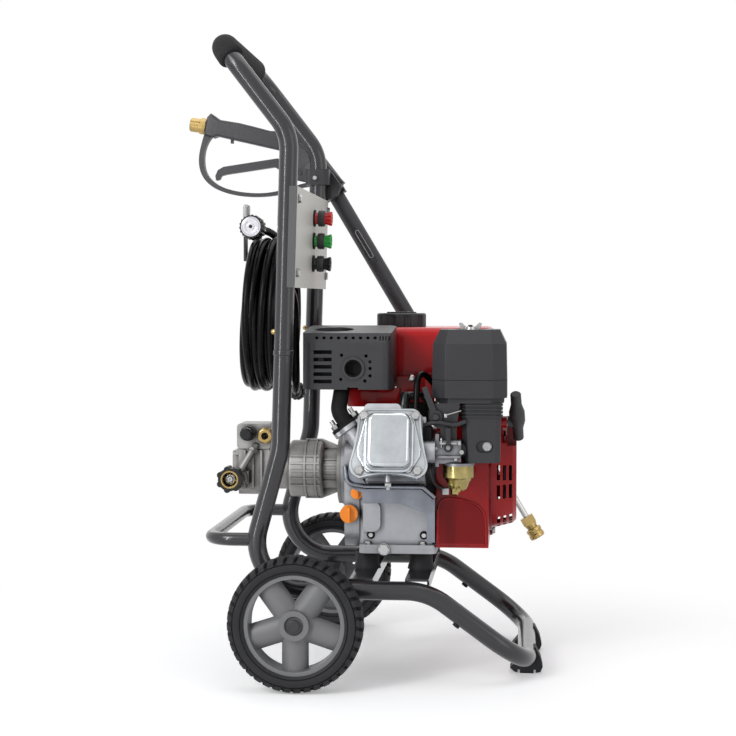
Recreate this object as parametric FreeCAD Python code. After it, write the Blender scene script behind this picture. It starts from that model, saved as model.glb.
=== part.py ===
"""Petrol pressure washer: tube frame on two wheels, gas engine, axial pump, hose and spray gun.

Frame of reference: +X to the front feet, +Y to the side that carries the spray gun, +Z up.
The origin is on the floor under the middle of the machine. Millimetres throughout.
"""
import FreeCAD, Part
import math
import os

V = FreeCAD.Vector

# ---------------------------------------------------------------- driving dimensions
CLEAR = 0.3            # gap between pieces that only lie against each other
RUN_FIT = 0.05         # radial running clearance of shafts and pins

# frame tubes
TRACK = 330.0          # between the centrelines of the two side tubes
TUBE_R = 12.7
TUBE_WALL = 1.6
BASE_TUBE_Z = 124.5    # height of the level run
JOINT_Z = 448.0        # seam between the lower frame and the handle
UPRIGHT_X = -80.5      # upright centreline at the seam
LEAN = 0.0298          # forward lean of the uprights, X per Z
KNEE_Z = 315.0         # where the uprights turn backwards
HEEL_X = -136.9        # corner behind the wheels
HEEL_BEND = 64.0
TOE_KNEE_X = 114.0     # where the level run turns down
TOE_X = 247.0          # front cross run
TOE_Z = 27.0
TOE_BEND = 62.0
SHOULDER_Z = 738.0     # where the handle turns backwards
HANDLE_X = -165.0
HANDLE_Z = 859.0
HANDLE_BEND = 46.0
SPIGOT_LENGTH = 58.0
SEAM_RING = 0.9        # swelling of the lower tube at the seam
BUTTON_RISE = 24.0     # snap button above the seam
BUTTON_R = 4.0

# rear bar
BAR_R = 9.0
BAR_WALL = 1.5
BAR_Z = 191.5
BAR_BACK_X = -184.0
BAR_BEND = 36.0

# grip on the handle
GRIP_R = 18.0
GRIP_LENGTH = 226.0

# wheels
WHEEL_R = 90.0
TYRE_WIDTH = 42.0
TYRE_DEPTH = 23.5      # rim seat to tread
RIM_R = WHEEL_R - TYRE_DEPTH
RIM_WIDTH = 36.0
HUB_R = 20.0
HUB_WIDTH = 40.0
SPOKES = 5
SPOKE_WIDTH = 36.0
SPOKE_CROWN = 11.0
LUGS = 34
LUG_DEPTH = 3.5
WHEEL_Y = 228.0
AXLE_X = -56.0
AXLE_R = 6.35

# engine rails and mounts
RAIL_PITCH = 75.5      # along the crankshaft
RAIL_X = 24.0
RAIL_WIDTH = 32.0
RAIL_THICK = 3.0
RAIL_DROP = 14.0
MOUNT_SPREAD = 162.0   # across the crankshaft
MOUNT_R = 16.0
MOUNT_HEIGHT = 24.8

# engine
PTO_X = -17.0
CRANK_Y = 15.0
CRANK_RISE = 106.0     # crankshaft above the engine base
CRANK_R = 12.5
CASE_X0 = 15.0
CASE_X1 = 119.0
CASE_FRONT_Y = -92.0
CASE_BACK_Y = 105.0
CASE_FLANGE = 12.0
BARREL_R = 62.0
HEAD_TILT = 20.0       # degrees that the cylinder rises towards the head
HEAD_X = 63.0
HEAD_Y = -178.0
HEAD_Z = 324.0
COVER_TOP_W = 84.0
COVER_LOW_W = 103.0
COVER_H = 96.0
COVER_PLATE = 4.0
COVER_EAR = 12.0       # corner round of the cover
DOME_W = 59.0
DOME_H = 75.0
DOME_DEPTH = 24.0
FINS = 6
HEAD_DEPTH = 40.0      # cylinder head, cover plate to gasket
FIN_STACK = 38.0       # finned barrel between head and crankcase
EXHAUST_EAR = 15.5     # stud from the centre of the exhaust flange
TRAY_FRONT_Y = -134.0
TRAY_SHEET = 2.0
TRAY_BEAD_R = 3.5
DIPSTICK_X = 2.0
DIPSTICK_Z = 220.0
PLUG_X = 13.0
PLUG_Z = 249.0

# muffler and shield
SHIELD_X0 = -60.0
SHIELD_X1 = 62.0
SHIELD_FRONT_Y = -130.0
SHIELD_BACK_Y = -21.0
SHIELD_Z0 = 393.0
SHIELD_Z1 = 457.0
SHIELD_TOP_Z = 479.0
SHIELD_WALL = 1.6
SHIELD_CORNER = 13.0
OUTLET_X = 10.4
OUTLET_Z = 422.0
OUTLET_R = 15.5
DISH_R = 27.0          # round dish pressed into the top of the shield
DISH_DEPTH = 4.0
DISH_X = -21.0

# fuel tank
TANK_X0 = -8.0
TANK_X1 = 200.0
TANK_FRONT_Y = -14.0
TANK_BACK_Y = 150.0
TANK_Z0 = 408.0
TANK_Z1 = 476.0
TANK_ROUND = 20.0
SEAM_LIP = 4.0
CAP_X = 62.5
CAP_Y = 64.0
CAP_R = 36.0
CAP_H = 19.5
CAP_LOBES = 10

# fan housing, recoil starter and flywheel
FAN_X0 = 122.0
FAN_X1 = 194.0
FAN_R = 112.0
FAN_FRONT_Y = -98.0
FAN_Z0 = 174.0
FAN_WALL = 2.0
COWL_X = 64.0          # red cowl between the cylinder and the tank
COWL_FRONT_Y = -62.0
RECOIL_X1 = 231.5
RECOIL_R = 84.0
RECOIL_FACE_R = 73.0
RECOIL_FLAT = 66.0     # flat top of the cover above the crankshaft
RECOIL_ROWS = 18
RECOIL_WALL = 2.0
FLYWHEEL_R = 84.0
FAN_BLADES = 14
PULLEY_R = 40.0
ROPE_R = 2.2

# air filter
FILTER_X0 = 118.0
FILTER_X1 = 219.0
FILTER_FRONT_Y = -150.0
FILTER_BACK_Y = -42.0
FILTER_Z0 = 376.0
FILTER_STEP_Z = 407.0
FILTER_SHOULDER_Z = 456.0
FILTER_Z1 = 475.0
FILTER_CHAMFER = 18.0
DUCT_BOLT_X = 192.8
DUCT_BOLT_Z = 318.0
DUCT_RECESS = 7.0      # depth of the bolt's recess

# carburettor
CARB_X = 147.0
CARB_Y = -138.0
CARB_Z = 311.0
CARB_HALF = 11.0       # carburettor body from its middle to the duct
BOWL_R = 21.0

# pump
PUMP_DRUM_R = 41.0
PUMP_DRUM_X = -95.0
PUMP_DRUM_X1 = -45.0
PUMP_NECK_R = 30.0
PUMP_FLANGE = 6.0      # thickness of the flange on the engine
PUMP_HEAD_X0 = -176.0
PUMP_HEAD_X1 = -121.0
PUMP_HEAD_W = 72.0
PUMP_HEAD_H = 70.0
UNLOADER_X = -150.0
UNLOADER_Z = 325.0
INLET_X = -171.0
INLET_Z = 262.0
OUTLET_PUMP_X = -122.0
OUTLET_PUMP_Z = 322.0

# nozzle panel
PANEL_Z0 = 532.0
PANEL_Z1 = 667.0
PANEL_THICK = 2.0
PANEL_LIP = 9.0
NOZZLE_Y = 8.0
NOZZLE_PITCH = 32.5
NOZZLE_MID_Z = 600.5
NOZZLE_R = 11.2
NOZZLE_LENGTH = 27.0
STEM_R = 6.5
GROMMET_R = 12.0

# hose
HOSE_R = 5.75
COIL_R = 118.5         # outside of the coil
COIL_DEPTH = 36.0      # inside to outside of the turns
COIL_X0 = -146.0
COIL_X1 = -78.0
COIL_Z = 497.5
HOOK_Y = -22.0
HOOK_W = 20.0
HOOK_THICK = 3.0
HOOK_X = -153.0
HOOK_TIP_Z = 648.0

# spray gun and lance
GUN_Y = 215.0
GUN_HALF = 13.5
LANCE_FOOT = V(-55.6, GUN_Y, 686.0)   # where the lance leaves the nose
LANCE_SLOPE = 59.3     # degrees below the horizontal
SLEEVE_R = 12.5
SLEEVE_LENGTH = 228.0
LANCE_R = 4.8
LANCE_LENGTH = 604.0
COUPLER_R = 12.2
TRIGGER_X = -106.0
TRIGGER_Z = 712.0

# exhaust flange on the head, and the gun holder
EXHAUST_FACE = V(4, -134, 344)
EXHAUST_AXIS = V(-0.58, 0.1, 0.81).normalize()
HOLDER_Z0 = 690.0      # gun holder's clamp on the far upright
HOLDER_HEIGHT = 24.0

# ---------------------------------------------------------------- worked-out places
SIDE_Y = TRACK / 2.0
RAIL_Z = BASE_TUBE_Z + TUBE_R
BASE_Z = RAIL_Z + RAIL_THICK + MOUNT_HEIGHT
CRANK_Z = BASE_Z + CRANK_RISE
RAIL_XS = (RAIL_X, RAIL_X + RAIL_PITCH)
MOUNT_YS = (CRANK_Y - MOUNT_SPREAD / 2.0, CRANK_Y + MOUNT_SPREAD / 2.0)
AXLE_Z = WHEEL_R
PANEL_X = UPRIGHT_X + LEAN * (NOZZLE_MID_Z - JOINT_Z) + TUBE_R + CLEAR
LEAN_DEG = math.degrees(math.atan(LEAN))
LANCE_DIR = V(math.cos(math.radians(LANCE_SLOPE)), 0, -math.sin(math.radians(LANCE_SLOPE)))
AX_X, AX_Y, AX_Z = V(1, 0, 0), V(0, 1, 0), V(0, 0, 1)

os.makedirs("parts", exist_ok=True)
made = {}


def save(node, shape):
    """Write one node and remember it for the summary."""
    solids = shape.Solids
    if not solids or not shape.isValid():
        print("check", node, len(solids), "solids")
    body = solids[0] if len(solids) == 1 else Part.makeCompound(solids)
    body.exportStep("parts/" + node + ".step")
    made[node] = body


# ---------------------------------------------------------------- shape helpers
def box(x0, x1, y0, y1, z0, z1):
    return Part.makeBox(x1 - x0, y1 - y0, z1 - z0, V(x0, y0, z0))


def rod(base, axis, radius, length):
    return Part.makeCylinder(radius, length, base, axis)


def ring(base, axis, outer, inner, length):
    return rod(base, axis, outer, length).cut(rod(base - axis, axis, inner, length + 2))


def cone(base, axis, r0, r1, length):
    return Part.makeCone(r0, r1, length, base, axis)


def turned(base, axis, profile):
    """Solid of revolution: profile is (distance along the axis, radius) pairs."""
    points = [V(radius, 0, along) for along, radius in profile]
    face = Part.Face(Part.makePolygon(points + [points[0]]))
    solid = face.revolve(V(0, 0, 0), AX_Z, 360)
    solid.Placement = FreeCAD.Placement(base, FreeCAD.Rotation(AX_Z, axis))
    return solid


def prism(points, sweep):
    """Closed outline extruded along sweep."""
    return Part.Face(Part.makePolygon(points + [points[0]])).extrude(sweep)


def joined(shapes):
    solid = shapes[0]
    if len(shapes) > 1:
        solid = solid.multiFuse(shapes[1:])
    return solid.removeSplitter()


def less(shape, tools):
    return shape.cut(Part.makeCompound(tools))


def hexagon(base, axis, across_flats, length):
    radius = across_flats / math.sqrt(3.0)
    points = [V(radius * math.cos(math.radians(60 * i)), radius * math.sin(math.radians(60 * i)), 0)
              for i in range(6)]
    solid = prism(points, V(0, 0, length))
    solid.Placement = FreeCAD.Placement(base, FreeCAD.Rotation(AX_Z, axis))
    return solid


def around(shape, centre, axis, count):
    """Copies of a shape turned evenly about an axis."""
    copies = []
    for i in range(count):
        copy = shape.copy()
        copy.rotate(centre, axis, 360.0 * i / count)
        copies.append(copy)
    return copies


def upright_x(z):
    return UPRIGHT_X + LEAN * (z - JOINT_Z)


def round_edges(shape, radius, keep):
    """Fillet the edges that keep() picks."""
    edges = [edge for edge in shape.Edges if keep(edge)]
    return shape.makeFillet(radius, edges)


def is_along(edge, axis):
    if edge.Curve.TypeId != "Part::GeomLine":
        return False
    return abs(abs(edge.tangentAt(edge.FirstParameter).dot(axis)) - 1) < 1e-6


def bent_wire(points, radii):
    """Straight runs joined by tangent arcs; radii are those of the inner points."""
    edges = []
    last = points[0]
    for i in range(1, len(points) - 1):
        corner = points[i]
        d_in = (corner - points[i - 1]).normalize()
        d_out = (points[i + 1] - corner).normalize()
        half_turn = d_in.getAngle(d_out) / 2.0
        reach = radii[i - 1] * math.tan(half_turn)
        start = corner - d_in * reach
        end = corner + d_out * reach
        inward = (d_out - d_in).normalize()
        middle = corner + inward * (radii[i - 1] / math.cos(half_turn) - radii[i - 1])
        edges.append(Part.LineSegment(last, start).toShape())
        edges.append(Part.Arc(start, middle, end).toShape())
        last = end
    edges.append(Part.LineSegment(last, points[-1]).toShape())
    return Part.Wire(edges)


def swept_rod(points, radii, radius):
    wire = bent_wire(points, radii)
    section = Part.Wire(Part.makeCircle(radius, points[0], points[1] - points[0]))
    return wire.makePipeShell([section], True, False)


def swept_tube(points, radii, radius, wall):
    return swept_rod(points, radii, radius).cut(swept_rod(points, radii, radius - wall))


# ---------------------------------------------------------------- frame
def lower_frame_points():
    top = V(upright_x(JOINT_Z), -SIDE_Y, JOINT_Z)
    knee = V(upright_x(KNEE_Z), -SIDE_Y, KNEE_Z)
    heel = V(HEEL_X, -SIDE_Y, BASE_TUBE_Z)
    toe_knee = V(TOE_KNEE_X, -SIDE_Y, BASE_TUBE_Z)
    toe = V(TOE_X, -SIDE_Y, TOE_Z)
    near = [top, knee, heel, toe_knee, toe]
    far = [V(p.x, -p.y, p.z) for p in reversed(near)]
    return near + far


def handle_points():
    low = V(upright_x(JOINT_Z), -SIDE_Y, JOINT_Z)
    shoulder = V(upright_x(SHOULDER_Z), -SIDE_Y, SHOULDER_Z)
    corner = V(HANDLE_X, -SIDE_Y, HANDLE_Z)
    near = [low, shoulder, corner]
    return near + [V(p.x, -p.y, p.z) for p in reversed(near)]


LOWER_RADII = [90.0, HEEL_BEND, 90.0, TOE_BEND, TOE_BEND, 90.0, HEEL_BEND, 90.0]
HANDLE_RADII = [66.0, HANDLE_BEND, HANDLE_BEND, 66.0]


def spigot(side):
    """Reduced tube end that the handle slides over."""
    base = V(upright_x(JOINT_Z), side * SIDE_Y, JOINT_Z)
    axis = V(LEAN, 0, 1).normalize()
    outer = TUBE_R - TUBE_WALL - RUN_FIT
    inner = outer - TUBE_WALL
    ferrule = TUBE_R + SEAM_RING
    return turned(base, axis, [(-12, inner), (-12, outer + 0.5), (-8, outer + 0.5), (-7, ferrule),
                               (-1, ferrule), (0, ferrule - SEAM_RING), (0, outer),
                               (SPIGOT_LENGTH, outer), (SPIGOT_LENGTH, inner)])


def button_axis():
    return V(1, 0, -LEAN).normalize()


def button_centre(side):
    z = JOINT_Z + BUTTON_RISE
    return V(upright_x(z), side * SIDE_Y, z)


def button_hole(side):
    return rod(button_centre(side) - button_axis() * 30, button_axis(), BUTTON_R + RUN_FIT, 30)


def make_frame():
    tube = swept_tube(lower_frame_points(), LOWER_RADII, TUBE_R, TUBE_WALL)
    tube = joined([tube, spigot(-1), spigot(1)])
    save("lower_frame", less(tube, [button_hole(-1), button_hole(1)]))
    handle = swept_tube(handle_points(), HANDLE_RADII, TUBE_R, TUBE_WALL)
    save("handle_tube", less(handle, [button_hole(-1), button_hole(1)]))


def make_rear_bar():
    start = V(HEEL_X + 30, -SIDE_Y, BAR_Z)
    corner = V(BAR_BACK_X, -SIDE_Y, BAR_Z)
    points = [start, corner, V(corner.x, SIDE_Y, BAR_Z), V(start.x, SIDE_Y, BAR_Z)]
    bar = swept_tube(points, [BAR_BEND, BAR_BEND], BAR_R, BAR_WALL)
    tube = swept_rod(lower_frame_points(), LOWER_RADII, TUBE_R)
    pieces = bar.cut(tube).Solids
    save("rear_bar", min(pieces, key=lambda solid: solid.BoundBox.XMin))


def make_grip():
    half = GRIP_LENGTH / 2.0
    base = V(HANDLE_X, -half, HANDLE_Z)
    sleeve = rod(base, AX_Y, GRIP_R, GRIP_LENGTH)
    sleeve = sleeve.makeFillet(7.0, [e for e in sleeve.Edges if e.Curve.TypeId == "Part::GeomCircle"])
    save("handle_grip", sleeve.cut(rod(base - AX_Y, AX_Y, TUBE_R, GRIP_LENGTH + 2)))


def make_axle():
    reach = WHEEL_Y + HUB_WIDTH / 2.0
    inner = WHEEL_Y - HUB_WIDTH / 2.0
    shaft = rod(V(AXLE_X, -reach - 3, AXLE_Z), AX_Y, AXLE_R, 2 * reach + 6)
    solids = [shaft]
    for side in (-1, 1):
        out = V(0, side, 0)
        hub_face = V(AXLE_X, side * (reach + CLEAR), AXLE_Z)
        solids.append(turned(hub_face, out, [(0, 0), (0, 9), (3.5, 9), (5, 7), (5, 0)]))
        solids.append(rod(V(AXLE_X, side * (inner - CLEAR), AXLE_Z), out * -1, 10, 5))
    save("axle", joined(solids))


def axle_bracket(side):
    """Plate under the side tube that carries the axle."""
    y0 = side * SIDE_Y - 3
    half = 19.0
    top = BASE_TUBE_Z - 4
    low = AXLE_Z - 12
    points = [V(AXLE_X - half, y0, top), V(AXLE_X - 11, y0, low), V(AXLE_X + 11, y0, low),
              V(AXLE_X + half, y0, top)]
    plate = prism(points, V(0, 6, 0))
    tube = rod(V(AXLE_X - 60, side * SIDE_Y, BASE_TUBE_Z), AX_X, TUBE_R, 120)
    bore = rod(V(AXLE_X, y0 - 1, AXLE_Z), AX_Y, AXLE_R, 8)
    arcs = swept_rod(lower_frame_points(), LOWER_RADII, TUBE_R)
    return less(plate, [tube, arcs, bore])


def engine_rail(x):
    """Inverted channel welded across the side tubes."""
    half = RAIL_WIDTH / 2.0
    inner = SIDE_Y - TUBE_R - 2
    top = box(x - half, x + half, -SIDE_Y, SIDE_Y, RAIL_Z, RAIL_Z + RAIL_THICK)
    legs = []
    for side in (-1, 1):
        x0 = x + side * half - (RAIL_THICK if side > 0 else 0)
        legs.append(box(x0, x0 + RAIL_THICK, -inner, inner, RAIL_Z - RAIL_DROP, RAIL_Z + 1))
    return joined([top] + legs)


def make_brackets():
    solids = [axle_bracket(-1), axle_bracket(1)]
    solids += [engine_rail(x) for x in RAIL_XS]
    save("frame_brackets", Part.makeCompound(solids))


def engine_mount(x, y):
    z0 = RAIL_Z + RAIL_THICK
    profile = [(0, 0), (0, MOUNT_R + 3), (5, MOUNT_R + 2), (9, MOUNT_R), (MOUNT_HEIGHT, MOUNT_R),
               (MOUNT_HEIGHT, 0)]
    return turned(V(x, y, z0), AX_Z, profile)


def foot(y):
    """Grooved rubber block clipped under the front cross run."""
    half = 14.0
    front, back = TOE_X + 22, TOE_X - 23
    points = [V(back, y - half, 7), V(back + 6, y - half, 2), V(TOE_X - 9, y - half, 0),
              V(TOE_X + 9, y - half, 0), V(front - 3, y - half, 2), V(front, y - half, 9),
              V(front - 3, y - half, 22), V(TOE_X + 12, y - half, 36), V(TOE_X, y - half, 36),
              V(TOE_X - 14, y - half, 18)]
    block = prism(points, V(0, 2 * half, 0))
    tube = rod(V(TOE_X, y - half - 1, TOE_Z), AX_Y, TUBE_R, 2 * half + 2)
    grooves = [box(x - 1.5, x + 1.5, y - half - 1, y + half + 1, -1, 5) for x in (TOE_X - 11, TOE_X + 11)]
    return max(less(block, [tube] + grooves).Solids, key=lambda solid: solid.Volume)


def tube_plug(side):
    """Rubber plug in the drain hole of the sloping run."""
    run = V(TOE_X - TOE_KNEE_X, 0, TOE_Z - BASE_TUBE_Z).normalize()
    out = V(run.z, 0, -run.x)
    centre = V(TOE_KNEE_X, side * SIDE_Y, BASE_TUBE_Z) + run * 58
    return rod(centre + out * (TUBE_R - 0.4), out, 5, 3.4).cut(rod(centre - run * 20, run, TUBE_R, 40))


def grommet(z):
    base = V(PANEL_X, NOZZLE_Y, z)
    profile = [(-2.5, STEM_R + RUN_FIT), (-2.5, GROMMET_R), (0, GROMMET_R), (0, GROMMET_R - 3),
               (PANEL_THICK, GROMMET_R - 3), (PANEL_THICK, GROMMET_R), (PANEL_THICK + 2.5, GROMMET_R),
               (PANEL_THICK + 2.5, STEM_R + RUN_FIT)]
    return turned(base, AX_X, profile)


def make_rubber():
    solids = [engine_mount(x, y) for x in RAIL_XS for y in MOUNT_YS]
    solids += [foot(-76), foot(76), tube_plug(-1), tube_plug(1)]
    solids += [leaned(grommet(z)) for z in nozzle_heights()]
    save("rubber_mounts", Part.makeCompound(solids))


# ---------------------------------------------------------------- wheels
def rim(side):
    """Moulded wheel centre, built about the origin with its outer face towards side."""
    half_rim = RIM_WIDTH / 2.0
    half_hub = HUB_WIDTH / 2.0
    wall = 5.5
    barrel = turned(V(0, -half_rim, 0), AX_Y,
                    [(0, RIM_R - wall), (0, RIM_R + 2), (3, RIM_R), (RIM_WIDTH - 3, RIM_R),
                     (RIM_WIDTH, RIM_R + 2), (RIM_WIDTH, RIM_R - wall)])
    hub = rod(V(0, -half_hub, 0), AX_Y, HUB_R, HUB_WIDTH)
    crown = side * (half_rim - 5)
    foot_y = crown - side * SPOKE_CROWN
    left = V(-SPOKE_WIDTH / 2.0, foot_y, 0)
    right = V(SPOKE_WIDTH / 2.0, foot_y, 0)
    arc = Part.Arc(left, V(0, crown, 0), right).toShape()
    base = Part.LineSegment(right, left).toShape()
    spoke = Part.Face(Part.Wire([arc, base])).extrude(V(0, 0, -(RIM_R - wall / 2.0)))
    arms = around(spoke, V(0, 0, 0), AX_Y, SPOKES)
    solid = joined([barrel, hub] + arms)
    bore = rod(V(0, -half_hub - 1, 0), AX_Y, AXLE_R + RUN_FIT, HUB_WIDTH + 2)
    dish = turned(V(0, side * half_hub, 0), V(0, side, 0), [(-4, 0), (-4, 11), (1, 13), (1, 0)])
    return less(solid, [bore, dish])


def tyre():
    half = TYRE_WIDTH / 2.0
    profile = [(-half + 4, RIM_R), (-half + 1, RIM_R + 5), (-half, RIM_R + 12), (-half + 1.5, WHEEL_R - 6),
               (-half + 6, WHEEL_R - 1.2), (-7, WHEEL_R), (7, WHEEL_R), (half - 6, WHEEL_R - 1.2),
               (half - 1.5, WHEEL_R - 6), (half, RIM_R + 12), (half - 1, RIM_R + 5), (half - 4, RIM_R)]
    body = turned(V(0, 0, 0), AX_Y, profile)
    seat = turned(V(0, -RIM_WIDTH / 2.0, 0), AX_Y,
                  [(0, RIM_R - 6), (0, RIM_R + 2), (3, RIM_R), (RIM_WIDTH - 3, RIM_R),
                   (RIM_WIDTH, RIM_R + 2), (RIM_WIDTH, RIM_R - 6)])
    notches = []
    for side in (-1, 1):
        edge = side * (half - 5)
        notch = box(-2.4, 2.4, edge - 6, edge + 6, WHEEL_R - LUG_DEPTH, WHEEL_R + 2)
        if side > 0:
            notch.rotate(V(0, 0, 0), AX_Y, 180.0 / LUGS)
        notches += around(notch, V(0, 0, 0), AX_Y, LUGS)
    return less(body, [seat] + notches)


def make_wheels():
    for side, word in ((-1, "near"), (1, "far")):
        at = V(AXLE_X, side * WHEEL_Y, AXLE_Z)
        wheel = rim(side)
        wheel.translate(at)
        save("wheel_rim_" + word, wheel)
        cover = tyre()
        cover.translate(at)
        save("tyre_" + word, cover)


def make_buttons():
    for side, word in ((-1, "near"), (1, "far")):
        centre = button_centre(side)
        out = button_axis() * -1
        profile = [(3, 0), (3, BUTTON_R), (TUBE_R + 1, BUTTON_R), (TUBE_R + 3.2, BUTTON_R * 0.8),
                   (TUBE_R + 4.6, BUTTON_R * 0.35), (TUBE_R + 4.8, 0)]
        save("snap_button_" + word, turned(centre, out, profile))


# ---------------------------------------------------------------- nozzle panel and nozzles
def leaned(shape):
    """Lean a piece of the panel with the uprights."""
    copy = shape.copy()
    copy.rotate(V(PANEL_X - TUBE_R - CLEAR, 0, NOZZLE_MID_Z), AX_Y, LEAN_DEG)
    return copy


def nozzle_heights():
    return (NOZZLE_MID_Z + NOZZLE_PITCH, NOZZLE_MID_Z, NOZZLE_MID_Z - NOZZLE_PITCH)


def panel_bolt_spots():
    return [(side * SIDE_Y, z) for side in (-1, 1) for z in (PANEL_Z0 + 20, PANEL_Z1 - 16)]


def make_panel():
    half = SIDE_Y + TUBE_R + CLEAR
    front = PANEL_X + PANEL_THICK
    plate = box(PANEL_X, front, -half, half, PANEL_Z0, PANEL_Z1)
    lips = [box(PANEL_X - PANEL_LIP, front, side * half - (0 if side > 0 else 1.6),
                side * half + (1.6 if side > 0 else 0), PANEL_Z0, PANEL_Z1) for side in (-1, 1)]
    holes = [rod(V(PANEL_X - 1, NOZZLE_Y, z), AX_X, GROMMET_R - 3, PANEL_THICK + 2)
             for z in nozzle_heights()]
    holes += [rod(V(PANEL_X - 1, y, z), AX_X, 3.1, PANEL_THICK + 2) for y, z in panel_bolt_spots()]
    save("nozzle_panel", leaned(less(joined([plate] + lips), holes)))


def nozzle(z):
    """Quick-connect spray nozzle with its stem pushed into the grommet."""
    seat = PANEL_THICK + 2.5 + CLEAR
    length = NOZZLE_LENGTH
    profile = [(-9, 0), (-9, STEM_R - 1), (-7, STEM_R), (seat, STEM_R), (seat, NOZZLE_R - 1.5),
               (seat + 1.5, NOZZLE_R), (seat + 7, NOZZLE_R), (seat + 7, NOZZLE_R - 2),
               (seat + 10, NOZZLE_R - 2), (seat + 10, NOZZLE_R), (length - 2, NOZZLE_R),
               (length, NOZZLE_R - 2), (length, 4), (length - 6, 3), (length - 6, 0)]
    return turned(V(PANEL_X, NOZZLE_Y, z), AX_X, profile)


def make_nozzles():
    for word, z in zip(("red", "green", "black"), nozzle_heights()):
        save("nozzle_" + word, leaned(nozzle(z)))


# ---------------------------------------------------------------- hose, hook and fittings
def make_hook():
    y0, y1 = HOOK_Y - HOOK_W / 2.0, HOOK_Y + HOOK_W / 2.0
    inner = COIL_R - COIL_DEPTH
    edge = max(abs(y0), abs(y1))
    top = COIL_Z + math.sqrt(inner ** 2 - edge ** 2) - CLEAR
    wall = PANEL_X + 2
    strap = [V(wall, y0, top), V(wall, y0, top - 34), V(wall - HOOK_THICK - 4, y0, top - 34),
             V(wall - HOOK_THICK - 4, y0, top - HOOK_THICK), V(HOOK_X - HOOK_THICK, y0, top - HOOK_THICK),
             V(HOOK_X - HOOK_THICK, y0, HOOK_TIP_Z), V(HOOK_X, y0, HOOK_TIP_Z), V(HOOK_X, y0, top)]
    hook = prism(strap, V(0, y1 - y0, 0))
    panel = leaned(box(PANEL_X, PANEL_X + 40, -100, 100, PANEL_Z0 - 60, PANEL_Z1 + 60))
    save("hose_hook", hook.cut(panel))


def make_hose():
    outer = rod(V(COIL_X0, 0, COIL_Z), AX_X, COIL_R, COIL_X1 - COIL_X0)
    inner = rod(V(COIL_X0 - 1, 0, COIL_Z), AX_X, COIL_R - COIL_DEPTH, COIL_X1 - COIL_X0 + 2)
    coil = outer.cut(inner)
    rims = [e for e in coil.Edges if e.Curve.TypeId == "Part::GeomCircle"]
    save("hose_coil", coil.makeFillet(HOSE_R, rims))
    ends = []
    for points in (front_end_points(), rear_end_points()):
        runs = [(points[i + 1] - points[i]).Length for i in range(len(points) - 1)]
        radii = []
        for i in range(1, len(points) - 1):
            turn = (points[i] - points[i - 1]).getAngle(points[i + 1] - points[i])
            radii.append(0.45 * min(runs[i - 1], runs[i]) / math.tan(turn / 2.0))
        end = swept_rod(points, radii, HOSE_R)
        length = bent_wire(points, radii).Length
        print("hose end: radii", [round(r) for r in radii], "length", round(length, 1),
              "volume ratio", round(end.Volume / (math.pi * HOSE_R ** 2 * length), 4))
        ends.append(end)
    save("hose_tail", Part.makeCompound(ends))


def front_end_points():
    """Hose end that leaves the top of the coil towards -Y."""
    return [V(-126, 6, 609.5), V(-129, -20, 611.5), V(-132, -44, 612.5), V(-133, -66, 614)]


def rear_end_points():
    """Hose end that leaves the foot of the coil towards +Y."""
    return [V(-99, -6, 386), V(-97, 20, 381), V(-95, 46, 379), V(-95, 70, 379)]


def hose_fitting(end, before, large):
    """Threaded hose end: crimped ferrule and swivel nut."""
    axis = (end - before).normalize()
    base = end - axis * 18
    profile = [(0, HOSE_R + RUN_FIT), (0, 8.6), (20, 8.6), (20, 11), (24, 11), (24, large - 1.5),
               (25.5, large), (50, large), (52, large - 2), (52, 12), (54, 12), (54, 5), (30, 4),
               (30, 0), (18 + RUN_FIT, 0), (18 + RUN_FIT, HOSE_R + RUN_FIT)]
    return turned(base, axis, profile)


def make_fittings():
    front = front_end_points()
    rear = rear_end_points()
    save("hose_fittings", Part.makeCompound([hose_fitting(front[-1], front[-2], 17.0),
                                             hose_fitting(rear[-1], rear[-2], 13.0)]))


# ---------------------------------------------------------------- spray gun and lance
def gun_outline():
    """Side outline of grip, body and nose, clockwise from the rear top."""
    rear = [V(-257, 0, 773), V(-252, 0, 800), V(-246, 0, 806), V(-240, 0, 802), V(-231, 0, 795.5)]
    top = [V(-201, 0, 790.5), V(-179, 0, 785), V(-153, 0, 778), V(-134, 0, 777), V(-112, 0, 768),
           V(-66, 0, 729)]
    nose = [V(-37, 0, 697.5), V(-74.5, 0, 674.8), V(-86, 0, 694)]
    throat = [V(-92, 0, 697), V(-114, 0, 702), V(-117, 0, 722), V(-122, 0, 745)]
    bottom = [V(-139, 0, 748), V(-236, 0, 770.5), V(-243, 0, 768)]
    return rear + top + nose + throat + bottom


def guard():
    """Loop that protects the trigger, from the heel of the grip to the nose."""
    outer = [V(-257.4, 0, 774), V(-262, 0, 758), V(-266, 0, 733), V(-261, 0, 710), V(-246, 0, 693),
             V(-222, 0, 682), V(-190, 0, 676.5), V(-160, 0, 676.5), V(-128, 0, 682), V(-96, 0, 691),
             V(-80, 0, 690)]
    inner = [V(-84, 0, 698), V(-97, 0, 697), V(-129, 0, 688), V(-160, 0, 682), V(-190, 0, 682.5),
             V(-219, 0, 688), V(-241, 0, 698.5), V(-254, 0, 713.5), V(-258, 0, 733), V(-254, 0, 756),
             V(-244, 0, 771)]
    half = 7.0
    edges = []
    for line in (outer, inner):
        curve = Part.BSplineCurve()
        curve.interpolate([p + V(0, GUN_Y - half, 0) for p in line])
        edges.append(curve.toShape())
    for a, b in ((outer[-1], inner[0]), (inner[-1], outer[0])):
        edges.append(Part.makeLine(a + V(0, GUN_Y - half, 0), b + V(0, GUN_Y - half, 0)))
    wire = Part.Wire(Part.__sortEdges__(edges))
    loop = Part.Face(wire).extrude(V(0, 2 * half, 0))
    return loop


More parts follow.
